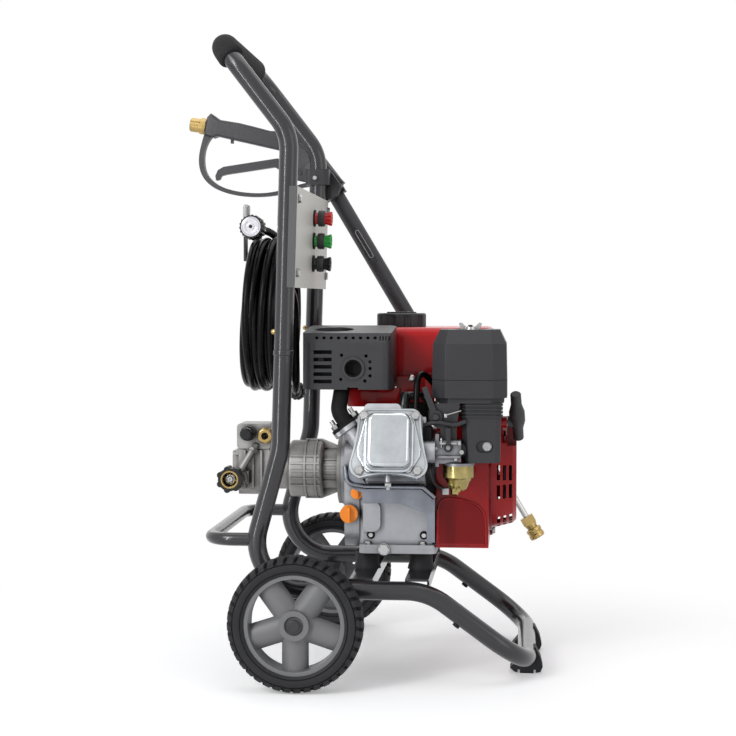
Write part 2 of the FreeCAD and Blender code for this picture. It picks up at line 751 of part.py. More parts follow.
def make_gun():
    outline = [p + V(0, GUN_Y - GUN_HALF, 0) for p in gun_outline()]
    body = prism(outline, V(0, 2 * GUN_HALF, 0))
    body = round_edges(body, 4.0, lambda e: not is_along(e, AX_Y))
    nose = cone(LANCE_FOOT - LANCE_DIR * 56, LANCE_DIR, 14.5, 21.5, 56)
    lug = box(-216, -212, GUN_Y - 4, GUN_Y + 4, 759.5, 768)
    slot = box(TRIGGER_X - 26, TRIGGER_X + 11, GUN_Y - 8, GUN_Y + 8, TRIGGER_Z - 13, TRIGGER_Z + 28)
    solid = joined([body, nose, guard(), lug])
    inlet_bore = rod(inlet_base() + inlet_axis() * 2, inlet_axis() * -1, 9.4, 16)
    bell = cone(LANCE_FOOT - LANCE_DIR * 8, LANCE_DIR, SLEEVE_R + CLEAR, 19.5, 9)
    spigot_bore = rod(LANCE_FOOT - LANCE_DIR * 40, LANCE_DIR, LANCE_R, 45)
    pin = rod(V(TRIGGER_X, GUN_Y - GUN_HALF - 1.5, TRIGGER_Z), AX_Y, 3.0, 2 * GUN_HALF + 3)
    heel = rod(inlet_base() + inlet_axis() * 1.5, inlet_axis(), 13.5, 8)
    solid = less(solid, [slot, inlet_bore, heel, bell, spigot_bore])
    save("gun_body", joined([solid, pin]))


def inlet_axis():
    """Points out of the heel of the grip."""
    tilt = math.radians(8.5)
    return V(-math.cos(tilt), 0, math.sin(tilt))


def inlet_base():
    return V(-254.0, GUN_Y, 786.0)


def make_trigger():
    outline = [V(-98, 0, 705), V(-98, 0, 719), V(-112, 0, 722), V(-131, 0, 728), V(-141, 0, 735.5),
               V(-152, 0, 734), V(-227, 0, 723), V(-236, 0, 718), V(-240, 0, 709), V(-239, 0, 702),
               V(-234, 0, 703), V(-231, 0, 709), V(-224, 0, 711), V(-147, 0, 722), V(-131, 0, 713),
               V(-116, 0, 703)]
    half = 7.4
    blade = prism([p + V(0, GUN_Y - half, 0) for p in outline], V(0, 2 * half, 0))
    bore = rod(V(TRIGGER_X, GUN_Y - half - 1, TRIGGER_Z), AX_Y, 3.0 + RUN_FIT, 2 * half + 2)
    save("gun_trigger", blade.cut(bore))


def make_lance():
    start = LANCE_FOOT + LANCE_DIR * CLEAR
    sleeve = rod(start - LANCE_DIR * 8, LANCE_DIR, SLEEVE_R, SLEEVE_LENGTH + 8)
    sleeve = sleeve.makeFillet(2.5, [e for e in sleeve.Edges if e.Curve.TypeId == "Part::GeomCircle"])
    window = LANCE_FOOT + LANCE_DIR * 88
    across = LANCE_DIR.cross(AX_Y)
    recess = prism([window + across * 4 + V(0, -SLEEVE_R - 1, 0),
                    window - across * 4 + V(0, -SLEEVE_R - 1, 0),
                    window - across * 4 + LANCE_DIR * 44 + V(0, -SLEEVE_R - 1, 0),
                    window + across * 4 + LANCE_DIR * 44 + V(0, -SLEEVE_R - 1, 0)], V(0, 2.2, 0))
    bore = rod(start - LANCE_DIR * 10, LANCE_DIR, LANCE_R, SLEEVE_LENGTH + 20)
    save("lance_sleeve", less(sleeve, [recess, bore]))
    tube = rod(LANCE_FOOT - LANCE_DIR * 38, LANCE_DIR, LANCE_R, LANCE_LENGTH + 38)
    save("lance_tube", tube.cut(rod(LANCE_FOOT - LANCE_DIR * 39, LANCE_DIR, LANCE_R - 1.2,
                                    LANCE_LENGTH + 40)))


def make_gun_fittings():
    out = inlet_axis()
    base = inlet_base() - out * 12
    nut = hexagon(base + out * 13.5, out, 22, 9)
    stub = turned(base, out, [(0, 5), (0, 9.4), (13.5, 9.4), (13.5, 5)])
    thread = turned(base + out * 22.5, out, [(0, 5), (0, 11), (14, 11), (15.5, 9.8), (15.5, 5)])
    inlet = joined([nut.cut(rod(base, out, 5, 40)), stub, thread])
    tip = LANCE_FOOT + LANCE_DIR * (LANCE_LENGTH - 14)
    body = joined([hexagon(tip, LANCE_DIR, 18, 13),
                   rod(tip + LANCE_DIR * 13, LANCE_DIR, 9.4, 3),
                   rod(tip + LANCE_DIR * 16, LANCE_DIR, 8.2, 21)])
    body = less(body, [rod(tip - LANCE_DIR, LANCE_DIR, LANCE_R, 15),
                       rod(tip + LANCE_DIR * 16, LANCE_DIR, STEM_R, 24)])
    save("gun_fittings", Part.makeCompound([inlet, body]))
    collar = turned(tip + LANCE_DIR * 20.5, LANCE_DIR,
                    [(0, 8.2 + RUN_FIT), (0, COUPLER_R - 1.6), (1.5, COUPLER_R), (5, COUPLER_R),
                     (6, COUPLER_R - 1), (9, COUPLER_R - 1), (10, COUPLER_R), (15, COUPLER_R),
                     (16.5, COUPLER_R - 1.6), (16.5, 8.2 + RUN_FIT)])
    save("coupler_collar", collar)


def make_holder():
    """Clamp on the far upright with an open saddle for the lance."""
    z0, z1 = HOLDER_Z0, HOLDER_Z0 + HOLDER_HEIGHT
    x = upright_x((z0 + z1) / 2.0)
    clamp = box(x - 18, x + 18, SIDE_Y - 17, SIDE_Y + 17, z0, z1)
    clamp = round_edges(clamp, 7.0, lambda e: is_along(e, AX_Z))
    seat_start = LANCE_FOOT + LANCE_DIR * 0.6
    across = LANCE_DIR.cross(AX_Y)
    gap = SLEEVE_R + 0.6
    back = SLEEVE_R + 0.6
    arm_tip = 6.0
    corner = seat_start
    profile = [(-gap - 4, -back - 6), (gap + 4, -back - 6), (gap + 4, arm_tip), (gap, arm_tip),
               (gap, -back), (-gap, -back), (-gap, arm_tip), (-gap - 4, arm_tip)]
    saddle = prism([corner + across * a + V(0, b, 0) for a, b in profile], LANCE_DIR * 12)
    web_y0, web_y1 = SIDE_Y + 10, GUN_Y - back
    web = prism([V(x + 2, web_y0, z1 - 2), V(x + 18, web_y0, z1 - 2), V(-38, web_y0, 690),
                 V(-46, web_y0, 674), V(-62, web_y0, 667), V(x + 2, web_y0, z0 + 1)],
                V(0, web_y1 - web_y0, 0))
    nose = cone(LANCE_FOOT - LANCE_DIR * 56, LANCE_DIR, 15.5, 22.5, 57)
    path = nose.copy()
    path.translate(V(0, 40, 0))
    tube = rod(V(upright_x(0), SIDE_Y, 0), V(LEAN, 0, 1), TUBE_R, 760)
    sleeve_room = rod(LANCE_FOOT, LANCE_DIR, gap, 80)
    holder = less(joined([clamp, web, saddle]), [tube, nose, path, sleeve_room])
    save("gun_holder", max(holder.Solids, key=lambda solid: solid.Volume))


# ---------------------------------------------------------------- pump
def make_pump():
    """Wobble-plate case: banded drum, narrower neck, gussets and the flange on the engine."""
    centre = V(0, CRANK_Y, CRANK_Z)
    flange_x = PTO_X - PUMP_FLANGE
    flange = rod(centre + V(flange_x, 0, 0), AX_X, 50, PUMP_FLANGE)
    collar = rod(centre + V(PUMP_DRUM_X1, 0, 0), AX_X, PUMP_NECK_R, flange_x - PUMP_DRUM_X1 + 1)
    drum = rod(centre + V(PUMP_DRUM_X, 0, 0), AX_X, PUMP_DRUM_R, PUMP_DRUM_X1 - PUMP_DRUM_X)
    drum = drum.makeFillet(5, [e for e in drum.Edges if e.Curve.TypeId == "Part::GeomCircle"])
    neck = rod(centre + V(PUMP_HEAD_X1, 0, 0), AX_X, 30, PUMP_DRUM_X - PUMP_HEAD_X1 + 6)
    gussets = []
    for side in (-1, 1):
        outline = [(PUMP_DRUM_X + 22, PUMP_DRUM_R - 4), (PUMP_DRUM_X + 22, PUMP_DRUM_R + 2),
                   (PUMP_DRUM_X1 - 4, PUMP_DRUM_R + 2), (flange_x + 1, PUMP_NECK_R + 2),
                   (flange_x + 1, PUMP_NECK_R - 4)]
        gussets.append(prism([V(x, CRANK_Y - 5, CRANK_Z + side * z) for x, z in outline], V(0, 10, 0)))
    ribs = []
    for x0, x1, radius in ((PUMP_DRUM_X + 4, PUMP_DRUM_X1 - 4, PUMP_DRUM_R),
                           (PUMP_DRUM_X1 - 1, flange_x + 1, PUMP_NECK_R)):
        rib = box(x0, x1, -1.25, 1.25, radius - 3, radius + 1.4)
        for i in range(-2, 3):
            for face in (-90, 90):
                copy = rib.copy()
                copy.rotate(V(0, 0, 0), AX_X, face + 15 * i)
                copy.translate(V(0, CRANK_Y, CRANK_Z))
                ribs.append(copy)
    bands = [rod(centre + V(x, 0, 0), AX_X, PUMP_DRUM_R + 1.6, 3) for x in (-72, -57)]
    case = joined([flange, collar, drum, neck] + gussets + bands + ribs)
    shaft_bore = rod(centre + V(-52, 0, 0), AX_X, CRANK_R + RUN_FIT, 60)
    save("pump_crankcase", case.cut(shaft_bore))


def make_pump_head():
    half_w, half_h = PUMP_HEAD_W / 2.0, PUMP_HEAD_H / 2.0
    z0, z1 = CRANK_Z - half_h, CRANK_Z + half_h
    y0, y1 = CRANK_Y - half_w, CRANK_Y + half_w
    block = box(PUMP_HEAD_X0 + 10, PUMP_HEAD_X1, y0, y1, z0, z1)
    block = round_edges(block, 7, lambda e: is_along(e, AX_X))
    face = box(PUMP_HEAD_X0, PUMP_HEAD_X0 + 12, y0 + 8, y1 - 8, z0 + 8, z1 - 8)
    face = round_edges(face, 5, lambda e: is_along(e, AX_X))
    unloader = box(UNLOADER_X - 18, OUTLET_PUMP_X + 3, CRANK_Y - 38, CRANK_Y + 14, z1 - 4,
                   UNLOADER_Z + 13)
    unloader = round_edges(unloader, 5, lambda e: is_along(e, AX_Y))
    outlet = rod(V(OUTLET_PUMP_X - 2, CRANK_Y - 46, OUTLET_PUMP_Z), AX_Y, 12, 40)
    inlet = rod(V(INLET_X + 10, CRANK_Y - 62, INLET_Z), AX_Y, 11, 62)
    post = rod(V(INLET_X, CRANK_Y - 72, INLET_Z), AX_Y, 10, 40)
    arm = box(INLET_X - 9, INLET_X + 22, CRANK_Y - 52, CRANK_Y - 30, INLET_Z - 9, INLET_Z + 9)
    fins = []
    for i in range(3):
        x = PUMP_HEAD_X0 + 18 + 12 * i
        fins.append(box(x, x + 3, y0 - 5, y0 + 1, z0 + 10, z1 - 6))
    head = joined([block, face, unloader, outlet, inlet, post, arm] + fins)
    stem_bore = rod(V(UNLOADER_X, CRANK_Y - 39, UNLOADER_Z), AX_Y, 3.5 + RUN_FIT, 20)
    outlet_bore = rod(V(OUTLET_PUMP_X - 2, CRANK_Y - 47, OUTLET_PUMP_Z), AX_Y, 8.0, 22)
    groove = ring(V(INLET_X, CRANK_Y - 67, INLET_Z), AX_Y, 12, 8.6, 3.4)
    save("pump_head", drilled(less(head, [stem_bore, outlet_bore, groove])))


def make_pump_fittings():
    face_y = CRANK_Y - 46
    out = AX_Y * -1
    outlet = turned(V(OUTLET_PUMP_X - 2, face_y, OUTLET_PUMP_Z), out,
                    [(-14, 5), (-14, 8.0), (0, 8.0), (0, 11.4), (5, 11.4), (5, 10.2), (15, 10.2),
                     (16, 9.2), (16, 5)])
    save("pump_outlet", outlet)
    knob_y = CRANK_Y - 38 - CLEAR
    knob = turned(V(UNLOADER_X, knob_y, UNLOADER_Z), out,
                  [(-16, 0), (-16, 3.5), (0, 3.5), (0, 10.6), (14, 10.6), (15, 8.8), (31, 8.8),
                   (33, 7), (33, 0)])
    flutes = [rod(V(UNLOADER_X + 10.0, knob_y - 34, UNLOADER_Z), AX_Y, 1.6, 18)]
    knob = less(knob, around(flutes[0], V(UNLOADER_X, knob_y, UNLOADER_Z), AX_Y, 10))
    save("unloader_knob", knob)
    nut_y = CRANK_Y - 64
    lobes = [rod(V(INLET_X + 14.5, nut_y - 22, INLET_Z), AX_Y, 4.6, 22)]
    nut = joined([rod(V(INLET_X, nut_y - 22, INLET_Z), AX_Y, 16.2, 22)]
                 + around(lobes[0], V(INLET_X, nut_y, INLET_Z), AX_Y, 7))
    hollow = rod(V(INLET_X, nut_y - 23, INLET_Z), AX_Y, 13, 14)
    bore = rod(V(INLET_X, nut_y - 23, INLET_Z), AX_Y, 10 + RUN_FIT, 24)
    lip = ring(V(INLET_X, CRANK_Y - 66.6, INLET_Z), AX_Y, 13, 8.6 + RUN_FIT, 2.6)
    save("inlet_nut", joined([less(nut, [hollow, bore]), lip]))


# ---------------------------------------------------------------- engine block
def make_crankcase():
    front, back = CASE_FRONT_Y, CASE_BACK_Y
    base = box(CASE_X0, FAN_X0, front - 8, back + 7, BASE_Z, BASE_Z + CASE_FLANGE)
    base = round_edges(base, 9, lambda e: is_along(e, AX_Z))
    block = box(CASE_X0, CASE_X1, front, back, BASE_Z + CASE_FLANGE - 1, CRANK_Z - 32)
    block = round_edges(block, 6, lambda e: is_along(e, AX_Z))
    round_top = rod(V(CASE_X0, CRANK_Y, CRANK_Z), AX_X, BARREL_R, CASE_X1 - CASE_X0)
    cover = box(CASE_X0 - 21, CASE_X0, front + 3, back - 3, BASE_Z + 6, CRANK_Z + 50)
    cover = round_edges(cover, 22, lambda e: is_along(e, AX_X))
    boss = rod(V(PTO_X, CRANK_Y, CRANK_Z), AX_X, 52, 12)
    bulge = box(21, 45, front - 8, front + 2, BASE_Z + 30, BASE_Z + 72)
    bulge = round_edges(bulge, 11, lambda e: is_along(e, AX_Y) and e.CenterOfMass.x > 40)
    filler = rod(V(DIPSTICK_X, front - 10, DIPSTICK_Z), AX_Y, 12.5, 20)
    filler_2 = rod(V(PLUG_X, front - 8, PLUG_Z), AX_Y, 9.5, 12)
    tilt = math.radians(HEAD_TILT)
    head_axis = V(0, math.cos(tilt), -math.sin(tilt))
    barrel_start = V(HEAD_X, HEAD_Y, HEAD_Z) + head_axis * (HEAD_DEPTH + FIN_STACK)
    barrel = rod(barrel_start, head_axis, 44, 62)
    solid = joined([base, block, round_top, cover, boss, bulge, filler, filler_2, barrel])
    shaft = rod(V(PTO_X - 1, CRANK_Y, CRANK_Z), AX_X, CRANK_R + RUN_FIT, CASE_X1 - PTO_X + 10)
    neck = rod(V(DIPSTICK_X, front - 11, DIPSTICK_Z), AX_Y, 8 + RUN_FIT, 15)
    neck_2 = rod(V(PLUG_X, front - 9, PLUG_Z), AX_Y, 6 + RUN_FIT, 12)
    save("crankcase", drilled(less(solid, [shaft, neck, neck_2])))


def at_head(shape):
    """Move a piece built about the cover's centre, outside towards -Y, onto the tilted head."""
    copy = shape.copy()
    seat = FreeCAD.Placement(V(HEAD_X, HEAD_Y, HEAD_Z), FreeCAD.Rotation(AX_X, -HEAD_TILT))
    copy.Placement = seat.multiply(copy.Placement)
    return copy


def cover_blank(inset, y, depth):
    """Slab of the cover's outline: narrow above, wide at the lower ears, hollow along the foot."""
    top = COVER_TOP_W / 2.0 - inset
    low = COVER_LOW_W / 2.0 - inset
    half = COVER_H / 2.0 - inset
    ear = COVER_EAR
    shoulder = V(top - 0.3 * ear, y, half - 0.3 * ear)
    right = [Part.Arc(V(top - ear, y, half), shoulder, V(top, y, half - ear)),
             Part.Arc(V(top, y, half - ear), V(top + 0.35 * (low - top), y, 4), V(low, y, 1.9 * ear - half)),
             Part.Arc(V(low, y, 1.9 * ear - half), V(low - 0.3 * ear, y, 0.5 * ear - half),
                      V(low - 1.1 * ear, y, -half))]
    left = []
    for arc in reversed(right):
        a, b = arc.StartPoint, arc.EndPoint
        m = arc.value((arc.FirstParameter + arc.LastParameter) / 2.0)
        left.append(Part.Arc(V(-b.x, y, b.z), V(-m.x, y, m.z), V(-a.x, y, a.z)))
    foot = Part.Arc(V(low - 1.1 * ear, y, -half), V(0, y, 6 - half), V(1.1 * ear - low, y, -half))
    roof = Part.LineSegment(V(ear - top, y, half), V(top - ear, y, half))
    wire = Part.Wire([curve.toShape() for curve in right + [foot] + left + [roof]])
    return Part.Face(wire).extrude(V(0, depth, 0))


def cover_bolt_spots():
    low = COVER_LOW_W / 2.0 - 12.7
    top = COVER_TOP_W / 2.0 - 7.6
    half = COVER_H / 2.0 - 10
    return [(-top, half), (top, half), (-low, -half), (low, -half)]


def exhaust_flange(start, thick):
    """Oval two-stud flange square to the exhaust pipe."""
    along = EXHAUST_AXIS.cross(AX_Y).normalize()
    width = EXHAUST_AXIS.cross(along).normalize() * 8
    ends = [start + along * EXHAUST_EAR, start - along * EXHAUST_EAR]
    bar = prism([ends[0] + width, ends[1] + width, ends[1] - width, ends[0] - width], EXHAUST_AXIS * thick)
    bosses = [rod(end, EXHAUST_AXIS, 8, thick) for end in ends]
    return joined([bar, rod(start, EXHAUST_AXIS, 15.5, thick)] + bosses)


def exhaust_studs():
    """Studs with their nuts on the outer face of the exhaust flange."""
    along = EXHAUST_AXIS.cross(AX_Y).normalize()
    seat = EXHAUST_FACE + EXHAUST_AXIS * 5
    studs = []
    for side in (-1, 1):
        base = seat + along * (side * EXHAUST_EAR)
        shank = rod(base - EXHAUST_AXIS * 5, EXHAUST_AXIS, 3, 19)
        studs.append(joined([hexagon(base, EXHAUST_AXIS, 10, 6), shank]))
    return studs


def make_head():
    depth = HEAD_DEPTH
    rim_plate = cover_blank(0.8, COVER_PLATE, 7)
    block = box(-44, 44, COVER_PLATE + 6, depth, -32, COVER_H / 2.0 - 4)
    block = round_edges(block, 6, lambda e: is_along(e, AX_Y))
    top = box(-36, 14, COVER_PLATE + 8, depth, 30, COVER_H / 2.0 + 11)
    top = round_edges(top, 7, lambda e: is_along(e, AX_Y) and e.CenterOfMass.z > 40)
    pitch = FIN_STACK / FINS
    fins = []
    for i in range(FINS):
        y0 = depth + pitch * i + pitch - 2.2
        fins.append(box(-34, 46, y0, y0 + 2.2, -40, 50))
    barrel = rod(V(0, depth - 1, 0), AX_Y, 36, FIN_STACK + 1)
    port = rod(V(38, 26, -4), AX_X, 15, COVER_LOW_W / 2.0 + 9 - 38)
    drain = rod(V(-1, COVER_PLATE + 4, -COVER_H / 2.0 + 10), AX_Z * -1, 3.5, 14)
    head = at_head(joined([rim_plate, block, top, barrel, port, drain] + fins))
    exhaust = rod(EXHAUST_FACE - EXHAUST_AXIS * 34, EXHAUST_AXIS, 12, 34)
    ears = exhaust_flange(EXHAUST_FACE - EXHAUST_AXIS * 6, 6)
    save("cylinder_head", joined([head, exhaust, ears]).cut(Part.makeCompound(exhaust_studs())))


def make_valve_cover():
    """Pressed cover: beaded edge, shallow step round the bolts and a deep dome."""
    plate = cover_blank(0, 0, COVER_PLATE)
    bead = cover_blank(0, -1.2, 1.4).cut(cover_blank(2.4, -1.3, 2))
    half_w = DOME_W / 2.0
    z0, z1 = -DOME_H / 2.0, DOME_H / 2.0
    dome = box(-half_w, half_w, -DOME_DEPTH, 1, z0, z1)
    dome = round_edges(dome, 12, lambda e: is_along(e, AX_Y))
    dome = round_edges(dome, 7, lambda e: abs(e.CenterOfMass.y + DOME_DEPTH) < 1e-6)
    wide = COVER_LOW_W / 2.0 - 8.5
    skirt = [V(-half_w - 3, 0, z1), V(-wide, 0, -8), V(-wide + 1, 0, -18), V(-half_w, 0, z0 - 3),
             V(half_w, 0, z0 - 3), V(wide - 1, 0, -18), V(wide, 0, -8), V(half_w + 3, 0, z1)]
    step = round_edges(prism(skirt, V(0, -3.5, 0)), 5, lambda e: is_along(e, AX_Y))
    step = round_edges(step, 2, lambda e: abs(e.CenterOfMass.y + 3.5) < 1e-6)
    foot = box(-half_w - 4, half_w + 4, -7, 1, z0 - 3, z1)
    foot = round_edges(foot, 14, lambda e: is_along(e, AX_Y))
    foot = round_edges(foot, 3, lambda e: abs(e.CenterOfMass.y + 7) < 1e-6)
    save("valve_cover", drilled(at_head(joined([plate, bead, step, foot, dome]))))


def make_lower_shroud():
    """Pressed tray under the head that turns the cooling air down, with a rolled front edge."""
    y0, y1 = TRAY_FRONT_Y, CASE_FRONT_Y
    t = TRAY_SHEET
    x1 = FAN_X0
    wall = [V(-4, y0, 288), V(0, y0, 272), V(24, y0, 263), V(27, y0, 240), V(78, y0, 240), V(110, y0, 227),
            V(x1, y0, 227), V(x1, y0, 247), V(106, y0, 263), V(30, y0, 263), V(10, y0, 288)]
    room = [V(t - 4, y0, 288), V(t, y0, 272 + t), V(24 + t, y0, 263 + t), V(27 + t, y0, 240 + t),
            V(78 + t / 4, y0, 240 + t), V(110 + t / 4, y0, 227 + t), V(x1 - t, y0, 227 + t),
            V(x1 - t, y0, 300), V(t - 4, y0, 300)]
    sheet = prism(wall, V(0, y1 - y0, 0)).cut(prism([p + V(0, t, 0) for p in room], V(0, y1 - y0, 0)))
    face = [V(-4, y0, 288), V(-2, y0, 270), V(5, y0, 261), V(14, y0, 256), V(22, y0, 254), V(24, y0, 238),
            V(50, y0, 239), V(75, y0, 238), V(111, y0, 225), V(111, y0, 186), V(x1, y0, 186),
            V(x1, y0, 247), V(106, y0, 264), V(26, y0, 264), V(14, y0, 266), V(6, y0, 275), V(4, y0, 288)]
    front = prism(face, V(0, t, 0))
    lip = [V(0, y0, 289), V(2, y0, 264.5), V(26, y0, 261.5), V(105, y0, 261.5), V(122, y0, 247)]
    bead = swept_rod(lip, [14, 14, 10], TRAY_BEAD_R)
    save("lower_shroud", joined([sheet, front, bead]))


# ---------------------------------------------------------------- muffler
def shield_outline(inset, x):
    f, b = SHIELD_FRONT_Y + inset, SHIELD_BACK_Y - inset
    return [V(x, f, SHIELD_Z0), V(x, f, SHIELD_Z1), V(x, f + 9, SHIELD_Z1 + 13 - inset),
            V(x, b, SHIELD_TOP_Z - inset), V(x, b, SHIELD_Z0)]


def make_muffler():
    width = SHIELD_X1 - SHIELD_X0
    outer = prism(shield_outline(0, SHIELD_X0), V(width, 0, 0))
    outer = round_edges(outer, SHIELD_CORNER, lambda e: is_along(e, AX_Z))
    wall = SHIELD_WALL
    inner = prism(shield_outline(wall, SHIELD_X0 + wall), V(width - 2 * wall, 0, 0))
    inner = round_edges(inner, SHIELD_CORNER - wall, lambda e: is_along(e, AX_Z))
    inner.translate(V(0, 0, -wall))
    cuts = [inner]
    f = SHIELD_FRONT_Y
    for i in range(5):
        z = SHIELD_Z0 + 11 + 10 * i
        cuts.append(box(SHIELD_X0 + 16, SHIELD_X0 + 41, f - 1, f + 3, z - 2.6, z + 2.6))
    slope = V(0, 13, -9).normalize()
    for i in range(9):
        start = V(SHIELD_X0 + 20 + 10 * i, f + 4.5, SHIELD_Z1 + 6.5) - slope * 6
        cuts.append(rod(start, slope, 2.4, 12))
    for dx, dz in ((-16, 18), (17.5, 17), (-17, -15), (16, -17), (23, 9), (23, 0), (23, -10)):
        cuts.append(rod(V(OUTLET_X + dx, f - 1, OUTLET_Z + dz), AX_Y, 2.3, 4))
    mouth = OUTLET_R - 3.5
    cuts.append(rod(V(OUTLET_X, f - 1, OUTLET_Z), AX_Y, mouth, 4))
    cuts.append(box(2, 17, f - 1, f + 3, SHIELD_Z0 - 1, SHIELD_Z0 + 3))
    for i in range(4):
        x = SHIELD_X1 - 16 + 4 * i
        cuts.append(box(x, x + 1.6, f - 1, f + 16, SHIELD_Z1 + 3, SHIELD_Z1 + 9))
    collar = ring(V(OUTLET_X, f - 2, OUTLET_Z), AX_Y, OUTLET_R, mouth, 2.2)
    dish_at = V(DISH_X, (f + SHIELD_BACK_Y) / 2.0, SHIELD_TOP_Z - 5 - DISH_DEPTH)
    pan = rod(dish_at - AX_Z * wall, AX_Z, DISH_R + wall, 20).common(outer)
    shield = joined([less(outer, cuts), pan, collar])
    save("muffler_shield", shield.cut(rod(dish_at, AX_Z, DISH_R, 30)))
    can = box(SHIELD_X0 + 12, SHIELD_X1 - 12, f + 13, SHIELD_BACK_Y - 12, SHIELD_Z0 + 7, SHIELD_Z1 + 4)
    can = round_edges(can, 14, lambda e: is_along(e, AX_Y))
    spout = ring(V(OUTLET_X, f + 1.7, OUTLET_Z), AX_Y, mouth - CLEAR, mouth - CLEAR - 1.5, 13)
    studs = [rod(V(x, y, SHIELD_Z0 + 40), AX_Y, 4, length) for x in (SHIELD_X0 + 26, SHIELD_X1 - 26)
             for y, length in ((f + SHIELD_WALL, 14), (SHIELD_BACK_Y - 14, 14 - SHIELD_WALL))]
    flange = exhaust_flange(EXHAUST_FACE, 5)
    bend = EXHAUST_FACE + EXHAUST_AXIS * 24
    pipe = swept_rod([EXHAUST_FACE + EXHAUST_AXIS * 4, bend, V(-6, -96, SHIELD_Z0 + 16)], [20.0], 11)
    save("muffler", joined([can, spout, flange, pipe] + studs).cut(Part.makeCompound(exhaust_studs())))


# ---------------------------------------------------------------- fuel tank
def make_tank():
    body = box(TANK_X0, TANK_X1, TANK_FRONT_Y, TANK_BACK_Y, TANK_Z0, TANK_Z1)
    body = round_edges(body, TANK_ROUND, lambda e: is_along(e, AX_Z))
    body = round_edges(body, 14, lambda e: abs(e.CenterOfMass.z - TANK_Z1) < 1e-6)
    lip = SEAM_LIP
    seam = box(TANK_X0 - lip, TANK_X1 + lip, TANK_FRONT_Y - lip, TANK_BACK_Y + lip, TANK_Z0, TANK_Z0 + 3)
    seam = round_edges(seam, TANK_ROUND + lip, lambda e: is_along(e, AX_Z))
    sump = box(TANK_X0 + 12, FAN_X0 - 6, 62, TANK_BACK_Y - 14, TANK_Z0 - 16, TANK_Z0 + 1)
    sump = round_edges(sump, 14, lambda e: is_along(e, AX_Z))
    neck = rod(V(CAP_X, CAP_Y, TANK_Z1 - 1), AX_Z, CAP_R - 7, 8)
    save("fuel_tank", joined([body, seam, sump, neck]))
    cap = rod(V(CAP_X, CAP_Y, TANK_Z1 + CLEAR), AX_Z, CAP_R, CAP_H)
    cap = cap.makeFillet(3, [e for e in cap.Edges if abs(e.CenterOfMass.z - TANK_Z1 - CLEAR - CAP_H) < 1e-6])
    flute = rod(V(CAP_X + CAP_R + 3.5, CAP_Y, TANK_Z1), AX_Z, 6.5, CAP_H - 3)
    room = rod(V(CAP_X, CAP_Y, TANK_Z1), AX_Z, CAP_R - 7 + RUN_FIT, 7 + CLEAR)
    crown = rod(V(CAP_X, CAP_Y, TANK_Z1 + CAP_H), AX_Z, CAP_R * 0.6, 2.2)
    skirt = rod(V(CAP_X, CAP_Y, TANK_Z1 + CLEAR), AX_Z, CAP_R - 4, 5)
    lobed = joined([less(cap, around(flute, V(CAP_X, CAP_Y, 0), AX_Z, CAP_LOBES)), crown, skirt])
    save("fuel_cap", lobed.cut(room))


# ---------------------------------------------------------------- fan housing and starter
def housing_body(inset, x0, x1):
    """Round blower housing with a flat foot and a flat side towards the head."""
    r = FAN_R - inset
    drum = rod(V(x0, CRANK_Y, CRANK_Z), AX_X, r, x1 - x0)
    side = box(x0, x1, FAN_FRONT_Y + inset, CRANK_Y, FAN_Z0 + inset, CRANK_Z + 52)
    foot_box = box(x0, x1, CRANK_Y - 1, CRANK_Y + 84 - inset, FAN_Z0 + inset, CRANK_Z)
    below = box(x0 - 1, x1 + 1, CRANK_Y - 200, CRANK_Y + 200, CRANK_Z - 300, FAN_Z0 + inset)
    return joined([drum, side, foot_box]).cut(below)


def make_fan_housing():
    outer = housing_body(0, FAN_X0, FAN_X1)
    inner = housing_body(FAN_WALL, FAN_X0 - 1, FAN_X1 - FAN_WALL)
    cowl = box(COWL_X, FAN_X0 + 1, COWL_FRONT_Y, 60, CRANK_Z + BARREL_R + 38, TANK_Z0 - CLEAR)
    cowl = cowl.cut(box(COWL_X + 2, FAN_X0 + 3, COWL_FRONT_Y + 2, 58, CRANK_Z + BARREL_R + 30,
                        TANK_Z0 - CLEAR - 2))
    cowl = cowl.cut(box(FILTER_X0 - CLEAR, FAN_X0 + 3, COWL_FRONT_Y - 1, FILTER_BACK_Y + CLEAR,
                        FILTER_Z0 - 9, TANK_Z0 + 1))
    mouth = rod(V(FAN_X1 - 6, CRANK_Y, CRANK_Z), AX_X, RECOIL_R - 6, 12)
    back = ring(V(FAN_X0, CRANK_Y, CRANK_Z), AX_X, FAN_R - 1, 58, FAN_WALL)
    back_cut = box(FAN_X0 - 1, FAN_X0 + 5, -200, 200, 0, FAN_Z0)
    y = FAN_FRONT_Y - 1.6
    low, x0, x1 = FAN_Z0 + 4, FAN_X0 + 3, FAN_X1 - 5
    edges = [Part.LineSegment(V(x1, y, low), V(x0, y, low)), Part.LineSegment(V(x0, y, low), V(x0, y, 231)),
             Part.Arc(V(x0, y, 231), V(x0 + 4, y, 240), V(x0 + 14, y, 243.5)),
             Part.Arc(V(x0 + 14, y, 243.5), V(x0 + 40, y, 237), V(x1 - 8, y, 224)),
             Part.Arc(V(x1 - 8, y, 224), V(x1 - 2, y, 218), V(x1, y, 210)),
             Part.LineSegment(V(x1, y, 210), V(x1, y, low))]
    panel = Part.Face(Part.Wire([curve.toShape() for curve in edges])).extrude(V(0, 1.8, 0))
    housing = joined([outer.cut(inner), back.cut(back_cut), cowl, panel])
    save("fan_housing", housing.cut(mouth))


